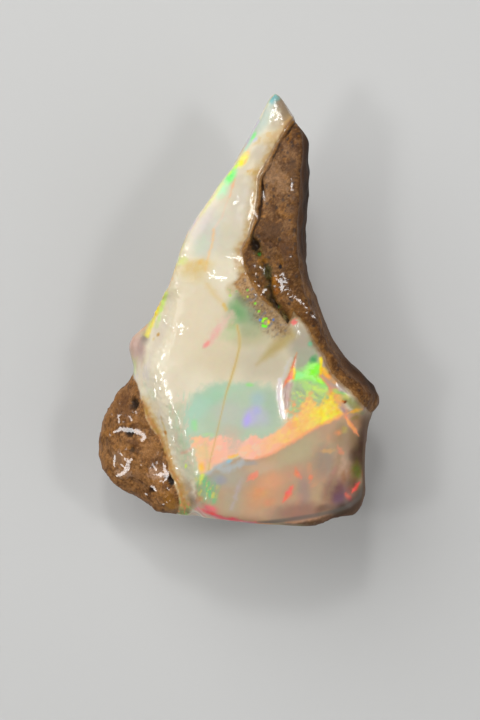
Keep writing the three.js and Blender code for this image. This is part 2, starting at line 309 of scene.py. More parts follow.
def rock_relief(ground):
    """Lumps, sand grains and pits of the host rock, its crest, and the holes in it."""
    places, xy = ground.places, ground.xy
    calm = 1 - 0.8 * ramp(ground.flank, -0.3, 0.4)
    side = 1 - ground.face
    rise = 0.2 * waves(places, 2.6, 2) + 0.11 * waves(places, 1, 3) * calm
    rise += 0.03 * waves(places, 0.3, 2) * calm + side * 0.1 * waves(places, 1.9, 2)
    rise += 0.22 * side * ramp(ground.knob, 0.5, 2) * (places[:, 2] > 5)
    hollow = 0.06 * pits(places, 1.7) * calm + 0.02 * pits(places, 0.6) * calm
    hollow += 0.24 * (0.7 + waves(places, 1.2)) * in_groove(ground, 0.11)
    crack = bell((gap_to(CREVICE, xy) + 0.12 * waves(places, 0.5)) / 0.2)
    hollow += 0.24 * crack * ramp(waves(places, 0.7, 2), -0.5, 0.1) * ground.face
    for centre, radius, depth in HOLES:
        gap = np.hypot(*(xy - centre).T) / radius + 0.35 * waves(places, 0.4, 2)
        hollow += depth * bell(np.maximum(gap, 0) ** 2) * ground.face
    rise += 0.22 * bell(gap_to(CREST, xy) / 0.45) * ground.face * (ground.ridge > 0)
    return rise - hollow, hollow


def droplets():
    """Short strokes scattered about the lines of the sprays, each with its width."""
    chance = np.random.default_rng(SPRAY_SEED)
    for line, spread, count in SPRAYS:
        for _ in range(count):
            step = chance.integers(len(line) - 1)
            a, b = np.array(line[step]), np.array(line[step + 1])
            start = a + chance.random() * (b - a) + chance.normal(0, spread, 2)
            turn = chance.random() * math.tau
            end = start + (0.02 + 0.2 * chance.random()) * np.array((math.cos(turn), math.sin(turn)))
            yield [start, end], 0.17 + 0.2 * chance.random() ** 2


def unit(vectors):
    return vectors / np.linalg.norm(vectors, axis=-1, keepdims=True)


def ripples(ground, moved):
    """Bright ripples in the wet film: how far each point is in one, and the film's normal there.

    A ripple leans from straight up half the way to one of the glint lights, whichever asks for
    least, and shivers a little, so that it glitters.
    """
    leans = [unit(unit(np.array(light) - moved) + (0, 0, 1)) for light in GLINT_LIGHTS]
    ragged = waves(ground.places, 0.3, 2)
    shiver = [waves(ground.places, 0.22, 2, offset) for offset in (3, 13)]
    shiver = SHIVER * np.column_stack(shiver + [np.zeros(len(moved))])
    film = ground.normals.copy()
    wet = np.zeros(len(moved))
    for points, width in [*GLINTS, *droplets()]:
        corners = np.array(points)
        low, high = corners.min(axis=0) - width, corners.max(axis=0) + width
        near = np.all((moved[:, :2] > low) & (moved[:, :2] < high), axis=1)
        near = np.flatnonzero(near & (ground.normals[:, 2] > 0.3))
        xy = moved[near, :2]
        ends = np.minimum(*(np.hypot(*(xy - end).T) for end in (corners[0], corners[-1])))
        thick = width / 2 * (0.5 + 0.5 * ramp(ends, 0, 2 * width))
        depth = thick - gap_to(points, xy) + min(0.25 * width, 0.09) * ragged[near]
        share = ramp(depth, -0.07, 0.05)
        if not share.any():
            continue
        normal = ground.normals[near].mean(axis=0)
        lean = max(leans, key=lambda lean: lean[near].mean(axis=0) @ normal)[near]
        most = share > wet[near]
        film[near[most]] = (lean + shiver[near])[most]
        wet[near[most]] = share[most]
    return wet, film


def chip_depth(ground):
    """The chip's floor: a steep, flat wall on its left that runs out to nothing on its right."""
    from_wall = np.where(inside(CHIP, ground.xy), gap_to(CHIP_WALL, ground.xy), 0)
    run_out = ramp(gap_to(CHIP_RUN_OUT, ground.xy), 0, 0.5)
    return np.minimum(from_wall * 0.3, np.maximum(0.24 - from_wall * 0.14, 0) * run_out)


def gloss(ground, is_rock, wet):
    """How wet the surface looks, from 0 to 1: least on rock, beside it, and at the right edge."""
    x, y = ground.xy.T
    edge = np.maximum(ramp(x, 9, 10.2), ramp(-y, 17, 17.8))
    dull = edge * ramp(-y, 8.6, 9.6) * (x > 0)
    seam = bell((ground.ridge + 0.2) / 0.4) * ramp(-y, -1.5, 0.5)
    dry = np.maximum(0.9 * dull, 0.9 * seam)
    dry = np.maximum(dry, is_rock * (0.76 + 0.24 * ramp(ground.flank, 0, 0.8)))
    return np.maximum(1 - dry, wet)


def carve(mesh, ground):
    """Gives the net its broken surface. Returns its hollows, its ripples and the film there."""
    places = ground.places
    is_rock = ramp(ground.rock, -0.1, 0.14)
    spilt = ramp(ground.spill, -0.3, 0.6) * ground.face

    rock_rise, hollow = rock_relief(ground)
    opal_rise = 0.05 * waves(places, 3.4) + 0.018 * waves(places, 1.1, 2)
    bevel = ramp(-ground.normals[:, 0], 0.12, 0.4) * ground.face
    opal_rise += bevel * (0.035 * waves(places, 0.7, 2) + 0.024 * waves(places, 0.3, 2))
    low_left = bell((ground.xy[:, 1] + 3.1) / 1.3) * (ground.xy[:, 0] < 0)
    opal_rise += 0.6 * low_left * ramp(0.5 - ground.normals[:, 2], 0, 0.3)
    opal_rise -= spilt * (0.06 + 0.04 * waves(places, 0.4, 2))
    rise = is_rock * rock_rise + (1 - is_rock) * opal_rise
    rise -= 0.07 * bell(ground.rock / 0.14)
    rise += 0.35 * bell(ground.ridge / 0.9) * ground.face * ramp(ground.xy[:, 1], -6, 2)
    rise -= chip_depth(ground) * ground.face

    settled = ramp(places[:, 2], 0, 0.5)
    moved = places + ground.normals * (rise * settled)[:, None]
    moved[:, 2] = np.maximum(moved[:, 2], 0)
    mesh.vertices.foreach_set("co", (moved * MM).astype(np.float32).ravel())
    mesh.update()
    for polygon in mesh.polygons:
        polygon.use_smooth = True
    return hollow, *ripples(ground, moved)


# ---- paints

# The tables of strokes hold rows for Paint.strokes, in the order in which they're laid.
CREAM, IVORY = (220, 208, 178), (229, 219, 193)
TEAL, LIME, OCHRE = (184, 202, 176), (196, 248, 60), (196, 138, 48)


class Paint:
    """Colours laid over one another on the points of the net."""

    def __init__(self, places, first, second):
        flat = places * (1, 1, 0)
        self.flat = flat
        self.fine = waves(flat, 0.4, 3)
        # Edges wander: exact ones hardly, near ones a little, and loose ones widely.
        drift, shiver, sway = (
            np.column_stack([waves(flat, size), waves(flat, size, offset=9)])
            for size in (1.1, 0.3, 2.4)
        )
        self.exact = flat[:, :2] + 0.03 * drift
        self.near = flat[:, :2] + 0.12 * drift + 0.06 * shiver
        self.loose = flat[:, :2] + 0.5 * sway + 0.08 * shiver
        self.colour = blend(ramp(waves(flat, 4, 2), -0.3, 0.3), np.array(first), second)

    def lay(self, mask, colour, strength=1, patchy=0):
        """Lays a colour where the mask is 1, in patches if it is patchy."""
        mask = mask * strength * (1 - patchy * ramp(self.fine, -0.2, 0.25))
        self.colour = blend(mask, self.colour, colour)

    def oval(self, centre, radii, turn, colour, strength=0.9, patchy=0):
        """A soft ellipse, fading from its middle to its rim, its long way turned in degrees."""
        at = self.loose if min(radii) > 1.2 else self.near
        cos, sin = math.cos(math.radians(turn)), math.sin(math.radians(turn))
        off = at - centre
        u = (off @ (cos, sin)) / radii[0]
        v = (off @ (-sin, cos)) / radii[1]
        self.lay(1 - ramp(np.hypot(u, v), 0.2, 1.05), colour, strength, patchy)

    def zone(self, corners, soft, colour, strength=1, patchy=0):
        """A patch with an edge soft mm wide, made ragged by fine noise."""
        depth = depth_of_zone(corners, self.near) + 0.3 * soft * self.fine
        self.lay(ramp(depth, -soft / 2, soft / 2), colour, strength, patchy)

    def line(self, points, width, soft, colour, strength=0.9, patchy=0):
        """A stroke with an edge soft mm wide, made ragged by fine noise."""
        depth = width / 2 - gap_to(points, self.near) + 0.3 * soft * self.fine
        self.lay(ramp(depth, -soft / 2, soft / 2), colour, strength, patchy)

    def spear(self, start, end, width, colour, strength=0.9, soft=0.3):
        """A streak that runs to a soft point at both ends."""
        along, gap = beside(start, end, self.near)
        depth = width / 2 * np.sin(np.pi * along) - gap + 0.5 * soft * self.fine
        self.lay(ramp(depth, -soft / 2, soft / 3), colour, strength)

    def strokes(self, rows):
        """Lays strokes over one another. A row is what line, spear or oval takes: a line's starts
        with a list, a spear's with a place, and an oval's with the numbers of its centre and radii.
        """
        for row in rows:
            if isinstance(row[0], list):
                self.line(*row)
            elif isinstance(row[0], tuple):
                self.spear(*row)
            else:
                self.oval(row[:2], row[2:4], *row[4:])

    def specks(self, mask, size, share, colour, strength=1, offset=0, turn=0, stretch=1):
        """Blotches size mm apart over about a share of the mask, stretched along a turn."""
        cos, sin = math.cos(math.radians(turn)), math.sin(math.radians(turn))
        along, across = self.flat @ (cos, sin, 0), self.flat @ (-sin, cos, 0)
        places = np.column_stack([along / stretch, across, 0 * along])
        low = 0.5 - share
        blotch = ramp(waves(places, size, 3, offset), low, low + 0.22)
        self.lay(blotch * mask, colour, strength)

    def within(self, corners, soft):
        """1 inside a zone and 0 outside it, with an edge soft mm wide."""
        return ramp(depth_of_zone(corners, self.near), -soft / 2, soft / 2)

    def shimmer(self):
        """Breaks the colours up a little: hardly in the milk, and more where they are strong."""
        bright, dull = self.colour.max(axis=1), self.colour.min(axis=1)
        swing = 2 + 22 * ramp((bright - dull) / bright, 0.38, 0.8)
        for channel, offset in enumerate((0, 21, 42)):
            grain = waves(self.flat, 0.5, 2, offset) + 0.5 * waves(self.flat, 0.2, 1, offset)
            self.colour[:, channel] += swing * grain
        self.colour = np.clip(self.colour, 0, 255)


CREAM_STROKES = [
    (-7.4, -4.4, 1.9, 6.4, 8, IVORY, 0.95), (-4.4, -1.4, 3.4, 5.4, -6, (225, 211, 182)),
    (-5.6, -7, 1.6, 3.4, 4, (224, 212, 187)), (-1.6, -4.2, 3, 2.6, 0, (218, 204, 173)),
    (-2.2, 0.8, 1.8, 2, 0, (224, 211, 184), 0.8), (2.2, -4.8, 3.8, 2.8, 0, (201, 190, 164)),
    (5.4, -2.8, 1.9, 2.6, 20, (174, 164, 144), 0.95), (6.6, -3.3, 0.7, 1.4, 30, (146, 134, 106), 0.85),
    (0.9, -2.4, 2.6, 1.3, 0, (190, 184, 146), 0.8), (0.1, 9, 1.6, 4.6, -12, (213, 204, 186), 0.8),
    (-1.2, 5.8, 1.5, 1.6, 0, (210, 203, 180), 0.8), (1.9, 14, 1, 1.8, -30, (202, 190, 170), 0.8),
    # Down the tip's right side: its own brownish edge, deepened with painted shade on the facet that turns
    # away from the light.
    (3.3, 16.4, 1.6, 0.9, 55, (188, 174, 146)),
    ([(3.6, 18.6), (4.2, 17.4), (4.7, 16.2)], 1.6, 0.9, (148, 128, 104), 0.95),
    (-8.9, -3.2, 0.8, 2, 6, (176, 148, 140), 0.95),
]


def paint_cream(p):
    """The milk's broad, soft changes, and painted shade down the tip's right side."""
    p.strokes(CREAM_STROKES)
    low = [(-6.2, -8.4), (-5, -8.2), (-4.2, -11.2), (-3.8, -14.4), (-4.6, -15.2), (-5.3, -13.4)]
    p.zone(low, 1, (194, 194, 166), 0.8)
    veil = p.within(low, 1)
    p.specks(veil, 0.5, 0.34, (222, 188, 164), 0.5, 3, 90, 2.5)
    p.specks(veil, 0.5, 0.34, (176, 200, 160), 0.5, 7, 90, 2.5)


FIN_GLASS = [
    (2, 16.6, 2.6, 0.9, 61, (186, 198, 184)), (-2.7, 6.4, 3.8, 1.5, 64, (206, 204, 190)),
    (-3.2, 7.6, 2.4, 0.7, 60, (220, 206, 200), 0.6), (-3.4, 5.6, 1.4, 0.9, 60, (204, 214, 188), 0.7, 0.3),
    ([(3.25, 19.1), (2.8, 18.4)], 0.7, 0.6, (120, 186, 190)),
    (2.4, 15.1, 1.5, 0.6, 24, (214, 190, 136), 0.6, 0.3),
    (3.1, 15.3, 0.8, 0.4, 40, (192, 160, 106), 0.7, 0.2),
    (2.5, 14.8, 0.9, 0.4, 40, (198, 170, 116), 0.65, 0.2),
]
FIN_FLASHES = [
    (1, 15.3, 0.9, 0.36, 62, (132, 240, 136), 1, 0.5),
    (1.25, 14.95, 0.35, 0.2, 50, (160, 174, 250), 0.6, 0.4),
    (0.6, 14.4, 0.9, 0.35, 60, (176, 228, 196), 0.9, 0.3),
    (0.62, 13.5, 0.9, 0.28, 62, (252, 196, 128), 0.9, 0.6),
    (0.3, 13.1, 1, 0.6, 58, (246, 240, 96), 1, 0.25), (0.1, 12.85, 0.4, 0.3, 50, (255, 226, 20), 1, 0.2),
    (0.5, 12.9, 0.5, 0.14, 62, (253, 186, 110), 0.9, 0.2), (-0.3, 12.6, 0.7, 0.24, 60, LIME, 0.8, 0.5),
    (-0.8, 11.6, 1.1, 0.6, 58, (112, 250, 112), 1, 0.25),
    (-0.85, 11.9, 0.3, 0.2, 40, (230, 244, 80), 1, 0.4),
    (-1.5, 10.5, 1.2, 0.6, 58, (186, 240, 190), 0.9, 0.5),
    ([(-1.5, 11), (-2.6, 9.5), (-3.6, 8.2)], 0.3, 0.35, (230, 234, 150), 0.8, 0.4),
    (1, 12, 0.8, 0.4, 12, (210, 186, 132), 0.8, 0.3),
]
FIN_THREADS = [
    ([(1.3, 11.4), (1.35, 10.9)], 0.3, 0.5, (212, 178, 116), 0.7, 0.5),
    ([(-0.4, 11.3), (-0.9, 9.9)], 0.14, 0.25, (248, 182, 136), 0.85, 0.2),
    ([(-1, 9.7), (-1.6, 8.2), (-2.2, 6.9)], 0.1, 0.25, (240, 196, 168), 0.55, 0.4),
    ([(-2.2, 6.9), (-2.45, 5.6), (-3.1, 3.4)], 0.18, 0.3, (252, 194, 124), 0.7, 0.3),
    ([(-3.4, 8.6), (-4.7, 6.5)], 0.22, 0.3, (246, 206, 178), 0.8, 0.4),
    ([(-4.7, 6.6), (-5.3, 5.2), (-5.8, 4)], 0.28, 0.3, (250, 192, 140), 0.9, 0.3),
    (-3.9, 3.7, 2.1, 1.1, 8, (222, 194, 130), 0.9, 0.2), (-3.3, 4.1, 0.6, 0.4, 0, (232, 186, 96), 0.6, 0.5),
    (-5, 4.2, 0.7, 0.5, 30, (212, 220, 128), 0.8, 0.4), (-4, 2.7, 1.4, 0.7, 0, (220, 200, 152), 0.85, 0.3),
]


def paint_fin(p):
    """The upper part: a glassy left side, flashes along it, and a thin peach line."""
    p.strokes(FIN_GLASS)
    veil = p.within([(1.1, 14.4), (3.5, 15.3), (3.6, 16.1), (1.6, 15.2)], 0.5)
    p.specks(veil, 0.6, 0.42, (208, 170, 100), 0.45, 3)
    p.strokes(FIN_FLASHES)
    veil = p.within([(0.4, 11.7), (1.6, 12), (1.7, 12.5), (0.5, 12.2)], 0.4)
    p.specks(veil, 0.5, 0.4, (206, 164, 88), 0.6, 5)
    p.strokes(FIN_THREADS)


EDGE_STROKES = [
    ([(-5.5, 4.4), (-5.9, 3.3)], 0.34, 0.3, (176, 238, 96), 0.95, 0.3),
    ([(-5.9, 3.6), (-7.2, 0.8), (-8.1, -1.3)], 0.6, 0.4, (224, 178, 130)),
    (-8.6, -2.2, 0.75, 1.1, 20, (148, 132, 120), 1),
    ([(-6.4, 2.4), (-7.4, 0.1)], 0.26, 0.25, (250, 180, 96), 0.95, 0.3),
    ([(-6.5, 1.4), (-7.1, -0.2)], 0.4, 0.35, (206, 238, 110), 0.8, 0.5),
    ([(-7.3, 0.1), (-7.8, -1.2), (-8.2, -2.2)], 0.45, 0.35, (250, 230, 86), 1, 0.2),
    ([(-7, -0.6), (-7.3, -1.4)], 0.3, 0.3, (188, 244, 110), 0.8, 0.6), (-7.2, -2.2, 0.26, 0.18, 60, OCHRE),
    (-7.6, -2.6, 0.3, 0.2, 60, (226, 200, 130), 0.7),
]


def paint_left_edge(p):
    """Yellow, green and peach along the left edge of the fin."""
    p.strokes(EDGE_STROKES)


# A murky yellow wedge between the spill and the chip.
WEDGE = [(3.6, -1.6), (4.6, -1.5), (5, -2.3), (3.9, -3.3), (2.8, -4.1), (1.4, -4.8), (2.6, -3.2)]
WINDOW_STROKES = [
    ([(-2.9, 2.2), (-1.9, 0.9), (-1.2, 0)], 0.3, 0.6, (220, 196, 140), 0.8, 0.3),
    (-0.75, 1.8, 0.7, 0.8, 0, (192, 166, 122), 0.7, 0.2),
    (-0.3, 4.2, 0.5, 0.5, 0, (204, 184, 158), 0.6, 0.2),
    ([(-1.5, 0.4), (-1.15, -0.05)], 0.2, 0.3, (236, 184, 84), 0.9, 0.2),
    (0.3, -0.4, 2.3, 1.9, -50, (160, 174, 134)), (0.3, 0.9, 1.2, 0.9, -40, (132, 142, 108)),
    (1.2, -0.6, 1.4, 1, -60, (140, 158, 126), 0.8), (-0.2, -0.2, 1.4, 1, -60, (126, 168, 114), 0.8),
    (-0.4, -0.3, 0.8, 0.5, -40, (112, 166, 110), 0.4), (-0.7, -0.8, 0.9, 0.7, -30, (160, 186, 138), 0.6),
    (-0.7, -1.5, 0.8, 0.6, 0, (166, 182, 124), 0.7), (-0.9, -2.1, 1.3, 0.8, 20, (190, 202, 154), 0.7, 0.3),
    (0.9, -1.9, 1.6, 0.9, 0, (172, 176, 138), 0.8, 0.2),
]


def paint_green_patch(p):
    """A murky green window below the ridge's tongue, a pink streak and a yellow one."""
    p.strokes(WINDOW_STROKES)
    rim = p.within([(-0.9, 1.9), (1.5, 1.5), (1.6, 0.2), (-0.3, 0.8)], 0.6)
    p.specks(rim, 0.4, 0.22, (110, 190, 90), 0.7, 4)
    p.line([(-0.8, -0.4), (-1.9, -1.8), (-2.4, -2.4)], 0.5, 1.1, (228, 190, 174), 0.75)
    p.line([(-1.7, -1.6), (-2.9, -3)], 0.2, 0.8, (238, 178, 166), 0.7)
    p.oval((-2.95, -3.05), (0.6, 0.26), 48, (242, 150, 144), 0.8)
    p.lay(ramp(depth_of_zone(WEDGE, p.near), -0.4, 0.5), (186, 166, 112), 0.95)
    p.spear((4.45, -1.1), (5.15, -1.05), 0.4, (246, 120, 112), 0.9, 0.2)
    p.line([(4.75, -0.85), (5.1, -0.7)], 0.1, 0.2, (240, 130, 110), 0.7)


TEAL_POOL = [
    (-5.2, -9.6), (-4.8, -8.4), (-4.2, -7.6), (-3.2, -6.9), (-2.1, -6.45), (-0.4, -6.35), (1.3, -6.5),
    (2.6, -6.6), (3.3, -7.6), (3.8, -9.9), (3, -11.8), (0.4, -12.6), (-4.6, -12.2),
]
POOL_STROKES = [
    (-2.4, -7.6, 2.6, 1.1, 28, (170, 206, 176)), (-0.6, -6.9, 2, 0.6, 2, (180, 206, 176), 0.7, 0.2),
    (-3.7, -9, 1.9, 1.3, 60, (178, 211, 188)), (-3.9, -10.4, 1.2, 1, 0, (190, 210, 182), 0.8),
    (-0.9, -9, 1.9, 1.6, 0, (196, 198, 184), 0.8), (-0.9, -10.7, 1.6, 1, 0, (204, 188, 168), 0.8, 0.2),
    (2.6, -8.4, 1, 2.2, 0, (174, 194, 170), 0.8), (1.5, -7.9, 0.9, 1.1, -15, (172, 196, 196), 0.8),
    (1.4, -9.4, 1.5, 1.5, -30, (190, 192, 204), 0.85), (0.9, -9.4, 0.8, 1.3, -30, (194, 188, 220), 0.85),
    (1.5, -8.85, 0.5, 0.6, -20, (184, 184, 224), 0.7), (0.62, -9.7, 0.46, 0.85, -16, (190, 176, 242), 0.8),
    (-4.03, -10.15, 0.42, 0.7, 0, (150, 230, 146), 0.8, 0.2),
    (-2.8, -10.9, 0.8, 0.25, 0, (186, 222, 156), 0.7, 0.4),
    (0.8, -6.62, 0.55, 0.28, 0, (150, 226, 130), 0.8, 0.3),
]


def paint_pool(p):
    """The teal pool: greener along its top and left, with a lavender light in its right."""
    p.zone(TEAL_POOL, 1, TEAL, 0.95)
    p.strokes(POOL_STROKES)
    comb = p.within([(-5.6, -7.4), (-4.4, -7.2), (-4, -11), (-5.4, -11)], 1)
    p.specks(comb, 0.3, 0.36, (222, 204, 180), 0.6, 6, 84, 4)
    p.specks(comb, 0.3, 0.34, (176, 214, 184), 0.6, 9, 84, 4)


BY_THE_RIDGE = [(4.8, -4.2), (6.6, -3.6), (7.6, -5.4), (9, -8), (8.4, -8.4), (4.2, -9.4)]
GREEN_FIRE = [
    (4.6, -5.3), (5.25, -5.5), (5.8, -5.15), (6.05, -4.65), (6.5, -4.6), (7, -4.9), (7.05, -5.8),
    (7.5, -6.5), (7.85, -6.95), (7, -6.55), (6.2, -6.2), (5.5, -6.1), (4.6, -6.3),
]
GREY_STRIP = [
    (6.7, -3.4), (7.2, -4.1), (7.9, -5.3), (8.6, -6.3), (9.6, -7.4), (8.6, -7.6), (8, -7.1), (7.1, -5.9),
    (7, -4.3),
]
RIDGE_STROKES = [
    ([(7.1, -5.7), (7.7, -6.5), (8.3, -7.1)], 0.4, 0.4, (214, 158, 138), 0.8, 0.2),
    ([(7.03, -4.3), (7.03, -5.6)], 0.24, 0.2, (255, 226, 40), 1),
    ([(7.12, -5.2), (7.4, -5.5)], 0.3, 0.24, (255, 206, 44), 1, 0.1),
    ([(7.35, -5.3), (7.75, -5.75)], 0.5, 0.4, (254, 196, 60), 1, 0.3),
    ([(7.6, -5.7), (8.3, -6.3)], 0.4, 0.4, (250, 168, 80), 0.9, 0.6),
    ([(7, -5.7), (7.4, -6.3), (8.1, -7.05)], 0.08, 0.2, (250, 150, 100), 0.95),
    ([(8.1, -7.2), (8.7, -8)], 0.7, 0.5, (250, 160, 112), 0.9, 0.3),
    ([(8.6, -7.8), (9.1, -8.7), (9.5, -9.4)], 0.3, 0.4, (236, 158, 128), 0.85, 0.2),
    (8.9, -8.5, 0.6, 0.5, -40, (200, 164, 140)), (9.9, -8.2, 1.1, 0.7, -30, (138, 132, 96), 0.95),
    ([(8.25, -7.25), (9.2, -7.45)], 0.2, 0.24, (112, 216, 112), 0.9, 0.4),
    (8.2, -7.3, 0.4, 0.2, -20, (250, 206, 70), 0.9, 0.3),
    ([(8.8, -7.7), (9.4, -8), (9.9, -8.3)], 0.4, 0.3, (140, 180, 96), 0.7, 0.5),
    ([(9.4, -7.9), (10.4, -8.8)], 0.6, 0.4, (156, 150, 96), 0.9, 0.3),
    (10.4, -8.8, 0.8, 0.5, -30, (196, 172, 96)),
    ((9.4, -9.15), (10.9, -8.65), 0.34, (255, 192, 80), 0.95, 0.2),
    (10.9, -9.05, 0.5, 0.22, 20, (104, 150, 62), 0.9, 0.3),
    (10.2, -9.5, 0.6, 0.25, 10, (116, 140, 54), 0.9, 0.4),
    (8.65, -7.75, 0.6, 0.5, -45, (252, 198, 104), 0.85, 0.2),
    (8.35, -7.1, 0.45, 0.25, -30, (188, 216, 118), 0.85),
    (9.25, -7.6, 0.5, 0.3, -30, (208, 204, 108), 0.85), (9.15, -8.05, 0.2, 0.16, 40, (116, 36, 14), 1),
    (9, -8, 0.16, 0.12, 0, (226, 120, 50), 0.8), (9.1, -8.8, 0.4, 0.16, -54, (170, 140, 150), 0.7),
]


def paint_by_the_ridge(p):
    """Green, yellow and pink fire between the chip and the ridge."""
    p.zone(BY_THE_RIDGE, 0.7, (172, 194, 146), 0.95, 0.1)
    p.zone([(4.8, -3.4), (6.6, -3.4), (6.9, -4.9), (5.8, -5), (4.8, -5.2)], 0.6, (172, 172, 150), 0.9)
    ground = p.within([(4.7, -6.2), (7.8, -6.4), (8.2, -7.3), (6, -8.2), (4.6, -8.8)], 0.6)
    p.specks(ground, 0.6, 0.5, (184, 230, 128), 0.7, 2, -28, 2)
    p.specks(ground, 0.5, 0.3, (150, 158, 134), 0.3, 5, -28, 1.6)
    p.specks(ground, 0.5, 0.34, (226, 236, 120), 0.6, 7, -28, 2)
    p.oval((6.9, -7), (1.3, 0.5), -22, (212, 246, 112), 0.75, 0.3)
    p.zone(GREEN_FIRE, 0.7, (160, 252, 120), 1, 0.1)
    p.oval((5.2, -5.75), (0.7, 0.4), 10, (168, 250, 160), 0.9, 0.2)
    p.oval((6.5, -5.3), (0.8, 1), -20, (148, 255, 78), 1)
    p.oval((7, -6.1), (0.8, 0.45), -45, (184, 255, 66), 0.9, 0.2)
    p.specks(p.within(GREEN_FIRE, 0.9), 0.4, 0.34, (188, 255, 150), 0.7, 4, -30, 2)
    p.oval((6.45, -4.3), (0.6, 0.4), 50, (84, 160, 96), 0.9, 0.3)
    p.oval((6.1, -3), (0.3, 0.4), 0, (110, 196, 150), 0.8, 0.4)
    p.zone(GREY_STRIP, 0.3, (176, 156, 142), 0.95)
    p.strokes(RIDGE_STROKES)


def paint_chip(p):
    """The chip's mauve floor, its orange far rim, and a pale painted highlight along its wall."""
    floor = [(4.6, -6.3), (4.5, -7.2), (4.3, -8.5), (3.9, -8.7), (3.78, -7.2), (3.9, -6.4)]
    p.zone(floor, 0.4, (182, 150, 142), 0.9, 0.2)
    rim = [(4.95, -3.8), (4.9, -4.5), (4.8, -5.4), (4.7, -6.05), (4.4, -6.1), (4.1, -6.5),
           (3.8, -6.8), (3.94, -6.1), (4.3, -5.4), (4.7, -4.6)]
    p.zone(rim, 0.3, (244, 126, 88), 0.95, 0.1)
    p.specks(p.within(rim, 0.2), 0.4, 0.34, (255, 190, 84), 0.8, 3, 70, 2)
    p.line([(4.76, -5.2), (4.66, -6)], 0.16, 0.2, (255, 210, 60), 1)
    # Painted highlight: a faint pale line for the upper part of the wet highlight on the chip's wall.
    p.line([(4.5, -4.3), (4.1, -5), (3.75, -6)], 0.2, 0.3, (214, 208, 200), 0.8)
    # Painted highlight: a pale line along the chip's wall, under the glints of the wet film there.
    wall = [(3.5, -6.2), (3.4, -6.9), (3.42, -7.8), (3.62, -8.7), (3.82, -9.3)]
    p.line(wall, 0.4, 0.3, (234, 222, 222), 0.95)


FIRE_BAND = [
    (-4.35, -11.2), (-3.4, -11.05), (-2.75, -11.15), (-2.25, -11), (-1.8, -10.85), (-1.3, -11.1),
    (-0.5, -11.3), (0.2, -11.5), (0.6, -11.25), (0.95, -11), (1.4, -10.95), (1.9, -11.25), (2.4, -11),
    (3, -10.75), (3.65, -10.15), (4.2, -9.55), (4.65, -9.2), (5.15, -8.7), (5.3, -8.15), (5.7, -7.7),
    (6.3, -7.9), (6.8, -8.2), (7.4, -7.8), (7.95, -7.2), (8.6, -8.1), (9.1, -9.2), (7.8, -9.9),
    (6.75, -10.25), (5.5, -11.05), (4.2, -11.85), (2.8, -12.65), (1.4, -13.1), (0.3, -13.1), (-0.1, -12.7),
    (-0.95, -12.95), (-1.4, -13.35), (-2.2, -13.7), (-2.9, -14.4), (-3.45, -14.5), (-3.8, -13.2),
    (-4.1, -12.2),
]
# The band's colour along its length: places along x, and the colour at each.
BAND_REACH = [-4.4, -3.2, -2, 0, 1.5, 3, 4.4, 6, 7.4, 8.8]
BAND_TINTS = [
    (246, 194, 156), (250, 198, 150), (254, 192, 162), (254, 194, 174), (255, 194, 166), (255, 190, 152),
    (255, 194, 136), (255, 206, 112), (255, 220, 82), (255, 204, 92),
]
BAND_STROKES = [
    ([(-3, -11.7), (-2.9, -12.6), (-2.8, -13.9)], 0.3, 0.8, (200, 204, 148), 0.7, 0.4),
    (-3.5, -12.5, 0.5, 1.1, 14, (232, 204, 154), 0.8, 0.3),
    (-3.4, -13.8, 0.4, 0.6, 0, (255, 200, 90), 0.9, 0.2),
    ([(-1, -12.9), (-0.2, -12.65)], 0.2, 0.24, (255, 196, 90), 0.9, 0.1),
    ([(9.1, -9.2), (6.7, -10.3), (4.2, -11.8), (2.8, -12.6), (1.4, -13)], 0.2, 0.34, (252, 166, 124), 0.7),
    (4.7, -8.3, 0.3, 0.2, 0, (250, 170, 110), 0.8, 0.3),
]


def paint_band(p):
    """The band of fire: peach at its left end, through salmon and amber, to yellow."""
    tints = np.array(BAND_TINTS, float)
    x = p.near[:, 0]
    along = [np.interp(x, BAND_REACH, tints[:, k]) for k in range(3)]
    feather = ramp(p.near[:, 1] - 0.35 * x, -12.4, -11.2)
    inside_band = depth_of_zone(FIRE_BAND, p.exact + feather[:, None] * (p.near - p.exact))
    depth = inside_band + (0.05 + 0.3 * feather) * p.fine
    p.lay(ramp(depth, -0.12, 0.12 + 0.2 * feather), np.column_stack(along))
    band = ramp(inside_band, -0.1, 0.4)
    left = band * (1 - ramp(x, 1, 3))
    middle = band * bell((x - 4.2) / 1.8)
    right = band * ramp(x, 3.4, 6)
    for mask, size, share, tint, strength, offset in (
            (right, 1.7, 0.48, (255, 230, 80), 0.7, 3), (right, 1.2, 0.4, (254, 184, 112), 0.5, 5),
            (right, 0.7, 0.34, (255, 234, 120), 0.3, 8),
            (middle, 1.4, 0.42, (255, 216, 124), 0.6, 13), (middle, 0.9, 0.36, (250, 172, 122), 0.45, 15),
            (left, 1.2, 0.36, (255, 200, 148), 0.5, 3), (left, 0.9, 0.36, (250, 180, 168), 0.45, 5),
            (left, 0.6, 0.3, (238, 214, 184), 0.45, 9)):
        p.specks(mask, size, share, tint, strength, offset, 34, 1.4)
    gap = [(-1.25, -10.9), (-0.4, -10.9), (0.4, -11.5), (-0.2, -12.5), (-1, -12.6)]
    p.zone(gap, 0.4, (214, 190, 168), 0.75, 0.4)
    p.strokes(BAND_STROKES)
    fringe = p.within([(3.9, -8.2), (5.2, -7), (6.6, -7.2), (7.6, -7.6), (5.6, -9), (4, -9.9)], 0.7)
    p.specks(fringe, 0.4, 0.34, (244, 176, 124), 0.6, 11)
    p.line([(-5.1, -12.65), (-4.4, -12.25)], 0.2, 0.4, (238, 160, 142), 0.7, 0.3)


